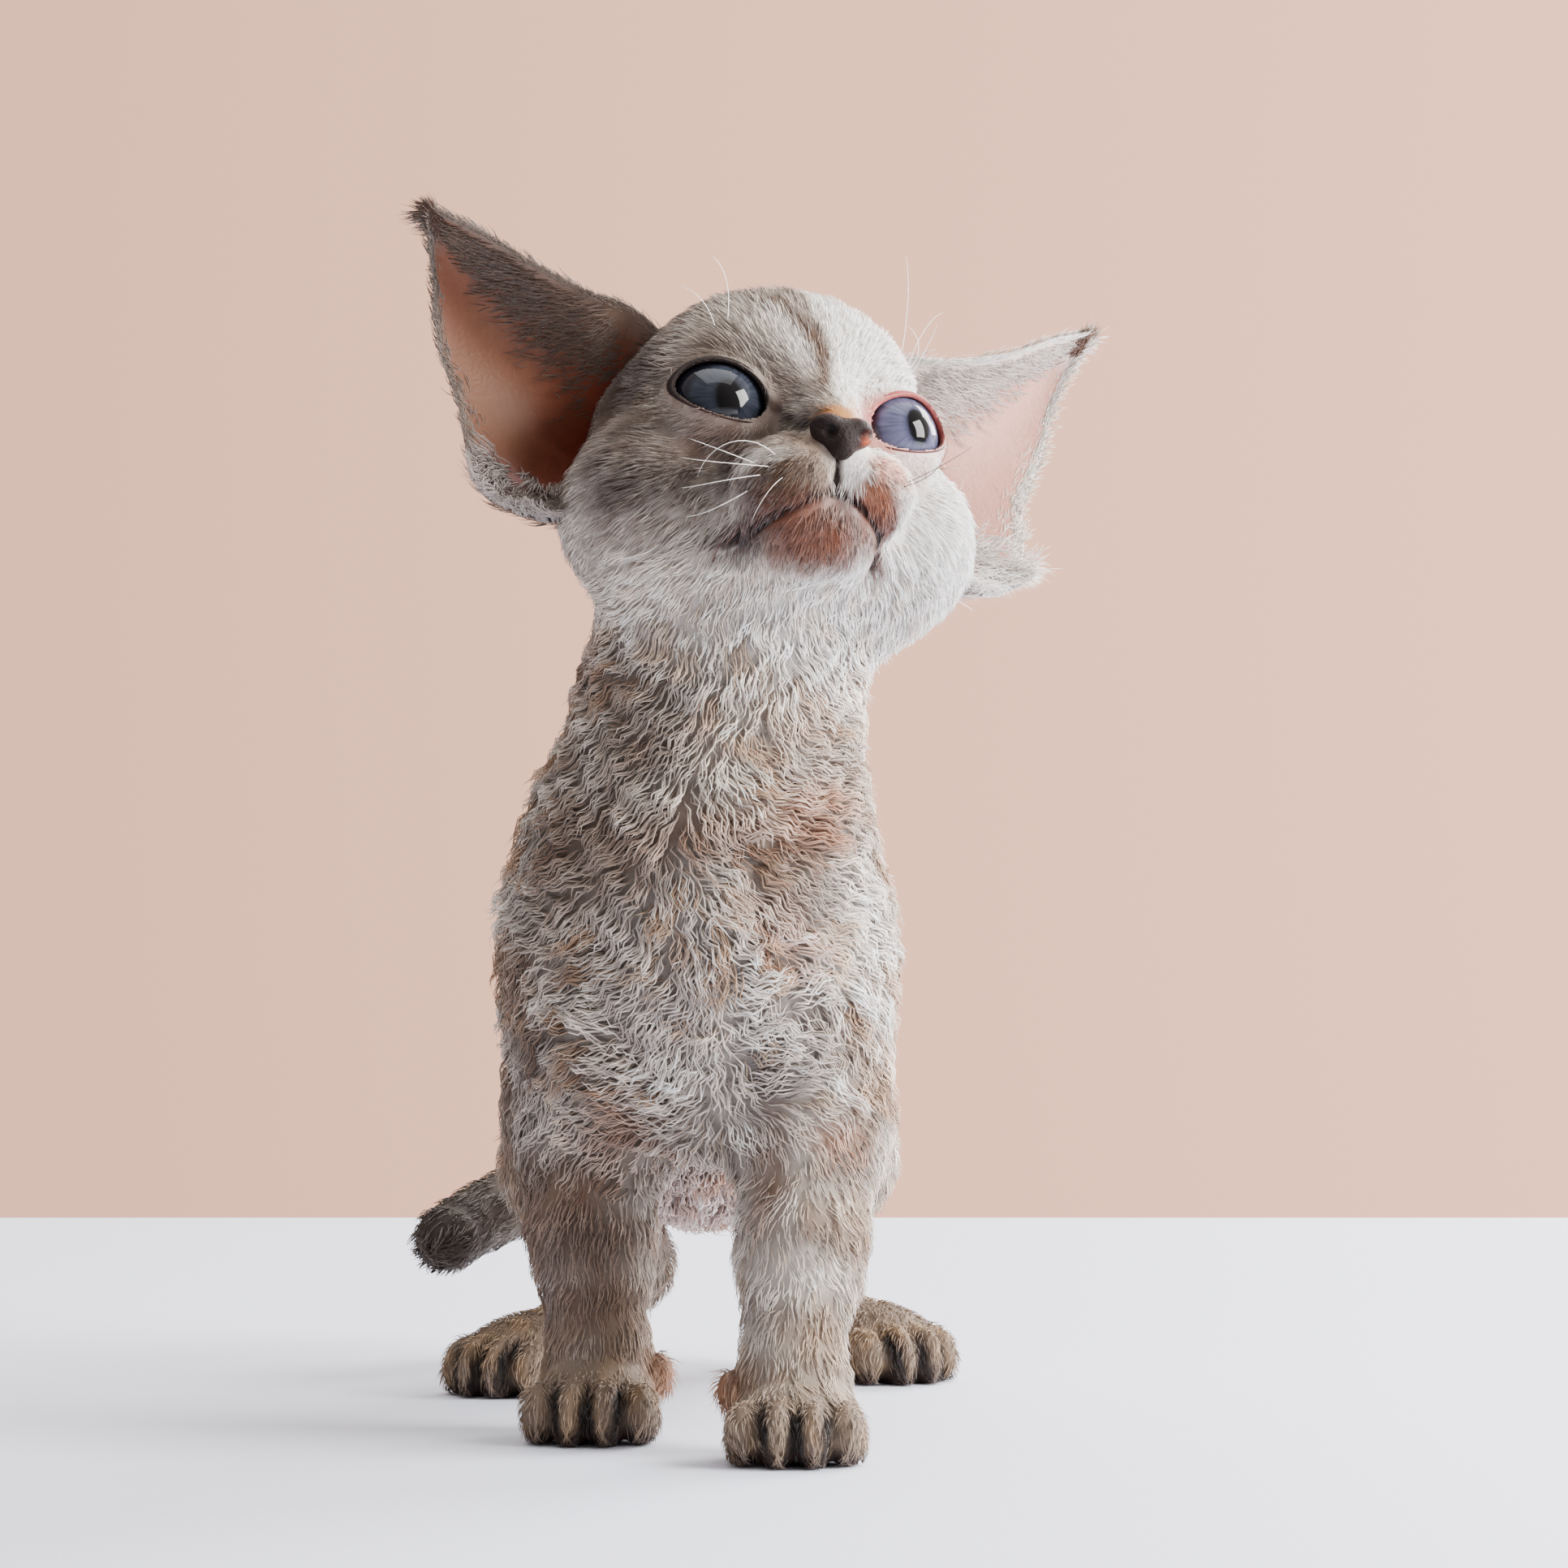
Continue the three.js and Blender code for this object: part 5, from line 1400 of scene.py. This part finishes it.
# Whiskers and brow hairs: short and curled, as the breed has them
# Side, root, way and length of each whisker, its bends, and its colour
WHISKERS = [
    (-1, (10.2, -30.7, -13.9), (0.9, -0.5, -0.3), 15, (1.4, 0.9), PALE_HAIR),
    (-1, (11, -29.6, -14.8), (0.9, -0.4, -0.4), 14, (1.7, 0.6), PALE_HAIR),
    (-1, (9.4, -31, -12.6), (0.9, -0.5, 0.3), 15, (2.2, -0.8), PALE_HAIR),
    (-1, (11.6, -28.6, -13), (1, -0.2, 0.1), 12, (1.2, 1.2), PALE_HAIR),
    (-1, (12.1, -27.1, -16.2), (0.8, -0.3, -0.7), 12, (1.9, 0.8), PALE_HAIR),
    (-1, (8.6, -31, -15.2), (0.6, -0.6, -0.6), 10, (1.6, -1), PALE_HAIR),
    (-1, (20, -12, -20), (0.6, -0.4, -0.7), 9, (0.8, 0.8), PALE_HAIR),
    (1, (8.5, -31.5, -14.1), (0.8, -0.6, 0.2), 12, (1.3, 0.6), DARK_HAIR),
    (1, (9.6, -30.6, -13), (0.9, -0.5, 0.5), 13, (0.9, -0.5), DARK_HAIR),
    (1, (11.4, -28.7, -15.9), (0.9, -0.4, -0.1), 10, (1.2, 1), PALE_HAIR),
    (1, (8, -31, -16), (0.5, -0.7, -0.2), 8, (2, 0.6), PALE_HAIR),
    (1, (15, -20, -22), (0.9, -0.2, -0.4), 14, (-1.2, 0.9), PALE_HAIR),
    (1, (17, -17, -18), (0.9, -0.2, -0.3), 13, (-0.9, 1.1), PALE_HAIR),
    (-1, (13.3, -17.5, 13), (0.1, -0.5, 0.9), 12, (0.9, -0.7), PALE_HAIR),
    (-1, (14.6, -16.6, 12.4), (0.5, -0.5, 0.7), 10, (1.4, 0.8), PALE_HAIR),
    (1, (14, -17, 12.6), (0, -0.4, 1), 17, (0.5, -0.6), PALE_HAIR),
    (1, (15.4, -16, 12), (0.2, -0.4, 1), 12, (-0.9, 0.5), PALE_HAIR),
    (1, (16.2, -15.6, 11.4), (0.4, -0.4, 0.9), 10, (1, -0.9), PALE_HAIR),
    (1, (15, -17.2, 11), (0.5, -0.4, 0.8), 8, (1.6, 0.8), PALE_HAIR),
]
WHISKER_POINTS = 14


def whisker(root, towards, length, bend):
    """One curled hair, from a root in the head's frame."""
    t = np.linspace(0, 1, WHISKER_POINTS)
    way = unit(np.array(towards, float))
    across = unit(np.cross(way, [0, 0.3, 1.0]))
    over = np.cross(across, way)
    aside, above = np.array(bend, float)[:, None] * t ** 1.5
    steps = np.stack([np.cos(aside) * np.cos(above), np.sin(aside), np.sin(above)], 1)
    path = np.cumsum(steps, 0) / WHISKER_POINTS * length
    return np.array(root) + path[:, :1] * way + path[:, 1:2] * across + path[:, 2:] * over


hairs, paints = [], []
for side, root, towards, length, bend, paint in WHISKERS:
    hairs.append(whisker(flip(root, side), flip(towards, side), length, bend))
    paints.append(np.tile(paint, (WHISKER_POINTS, 1)))
hairs = from_head(np.array(hairs))
widths = 0.075 * np.sqrt(np.clip(1 - np.linspace(0, 1, WHISKER_POINTS) ** 2, 0, 1))
widths = np.tile(widths, (len(hairs), 1))
strand_mesh("whiskers", hairs, widths, np.tile([0.1, -1, 0.2], (len(hairs), 1)), np.array(paints),
            atlas(hairs[:, 0], np.zeros(len(hairs), int)), WHISKER, "coat")

# Floor, light and camera

# The table top, whose back edge is the level line in the photo
reach, back_edge = 2, 0.39
floor_corners = [(-reach, -reach, 0), (reach, -reach, 0), (reach, back_edge, 0), (-reach, back_edge, 0)]
floor_mesh = bpy.data.meshes.new("floor")
floor_mesh.from_pydata(floor_corners, [], [(0, 1, 2, 3)])
floor = bpy.data.objects.new("floor", floor_mesh)
bpy.context.scene.collection.objects.link(floor)
floor_paint, _, floor_shader = principled("floor_pale", 0.6)
floor_shader.inputs["Base Color"].default_value = (*shade(232, 238, 254), 1)
floor.data.materials.append(floor_paint)

world = bpy.data.worlds.new("studio")
bpy.context.scene.world = world
world.use_nodes = True
# The room is brighter behind the kitten and on its left, as by a large window, and the wall is pink
sky = world.node_tree
backdrop = sky.nodes["Background"]
ways = node(sky, "ShaderNodeTexCoord")


def by_way(way, low, high, least, most):
    """A value that goes from least to most as the way looked turns towards a given one."""
    dot = node(sky, "ShaderNodeVectorMath", operation="DOT_PRODUCT")
    dot.inputs[1].default_value = way
    fade = node(sky, "ShaderNodeMapRange")
    for key, value in (("From Min", low), ("From Max", high), ("To Min", least), ("To Max", most)):
        fade.inputs[key].default_value = value
    sky.links.new(ways.outputs["Generated"], dot.inputs[0])
    sky.links.new(dot.outputs["Value"], fade.inputs["Value"])
    return fade.outputs["Result"]


strength = node(sky, "ShaderNodeMath", operation="MULTIPLY")
sky.links.new(by_way((0.5, 0.82, 0.28), -1.0, 1.0, 0.26, 1.75), strength.inputs[0])
sky.links.new(by_way((0.6, 0.8, 0.0), 0.6, 0.95, 0.85, 1.6), strength.inputs[1])
sky.links.new(strength.outputs["Value"], backdrop.inputs["Strength"])
wall = node(sky, "ShaderNodeMix", data_type="RGBA")
colours = [socket for socket in wall.inputs if socket.type == "RGBA"]
colours[0].default_value = (*shade(236, 226, 220), 1)
colours[1].default_value = (*shade(243, 186, 158), 1)
sky.links.new(by_way((0.0, 1.0, 0.0), 0.86, 0.95, 0.0, 1.0), wall.inputs["Factor"])
sky.links.new(next(socket for socket in wall.outputs if socket.type == "RGBA"), backdrop.inputs["Color"])


def area_light(name, at, towards, size, power, colour):
    lamp = bpy.data.lights.new(name, "AREA")
    lamp.shape = "RECTANGLE"
    lamp.size, lamp.size_y = size
    lamp.energy = power
    lamp.color = colour
    thing = bpy.data.objects.new(name, lamp)
    thing.location = at
    thing.rotation_euler = (Vector(towards) - Vector(at)).to_track_quat("-Z", "Y").to_euler()
    bpy.context.scene.collection.objects.link(thing)


target = (0, -0.04, 0.1)
area_light("window", (0.76, -0.24, 0.42), target, (0.45, 0.6), 24, (1.0, 0.98, 0.96))
area_light("back_window", (0.65, 0.75, 0.55), target, (0.6, 0.6), 26, (1.0, 0.98, 0.96))
area_light("top", (0.0, 0.1, 1.1), target, (1.0, 1.0), 8, (0.96, 0.98, 1.0))

camera_data = bpy.data.cameras.new("camera")
camera_data.sensor_width = 36
camera_data.lens = camera_data.sensor_width * FOCAL_LENGTH / PHOTO_WIDTH
camera_data.clip_start = 0.01
camera = bpy.data.objects.new("camera", camera_data)
camera.location = in_scene(CAMERA_AT)
camera.rotation_euler = (math.pi / 2 + math.atan((STRAIGHT_AHEAD[1] - PHOTO_WIDTH / 2) / FOCAL_LENGTH), 0, 0)
bpy.context.scene.collection.objects.link(camera)
bpy.context.scene.camera = camera
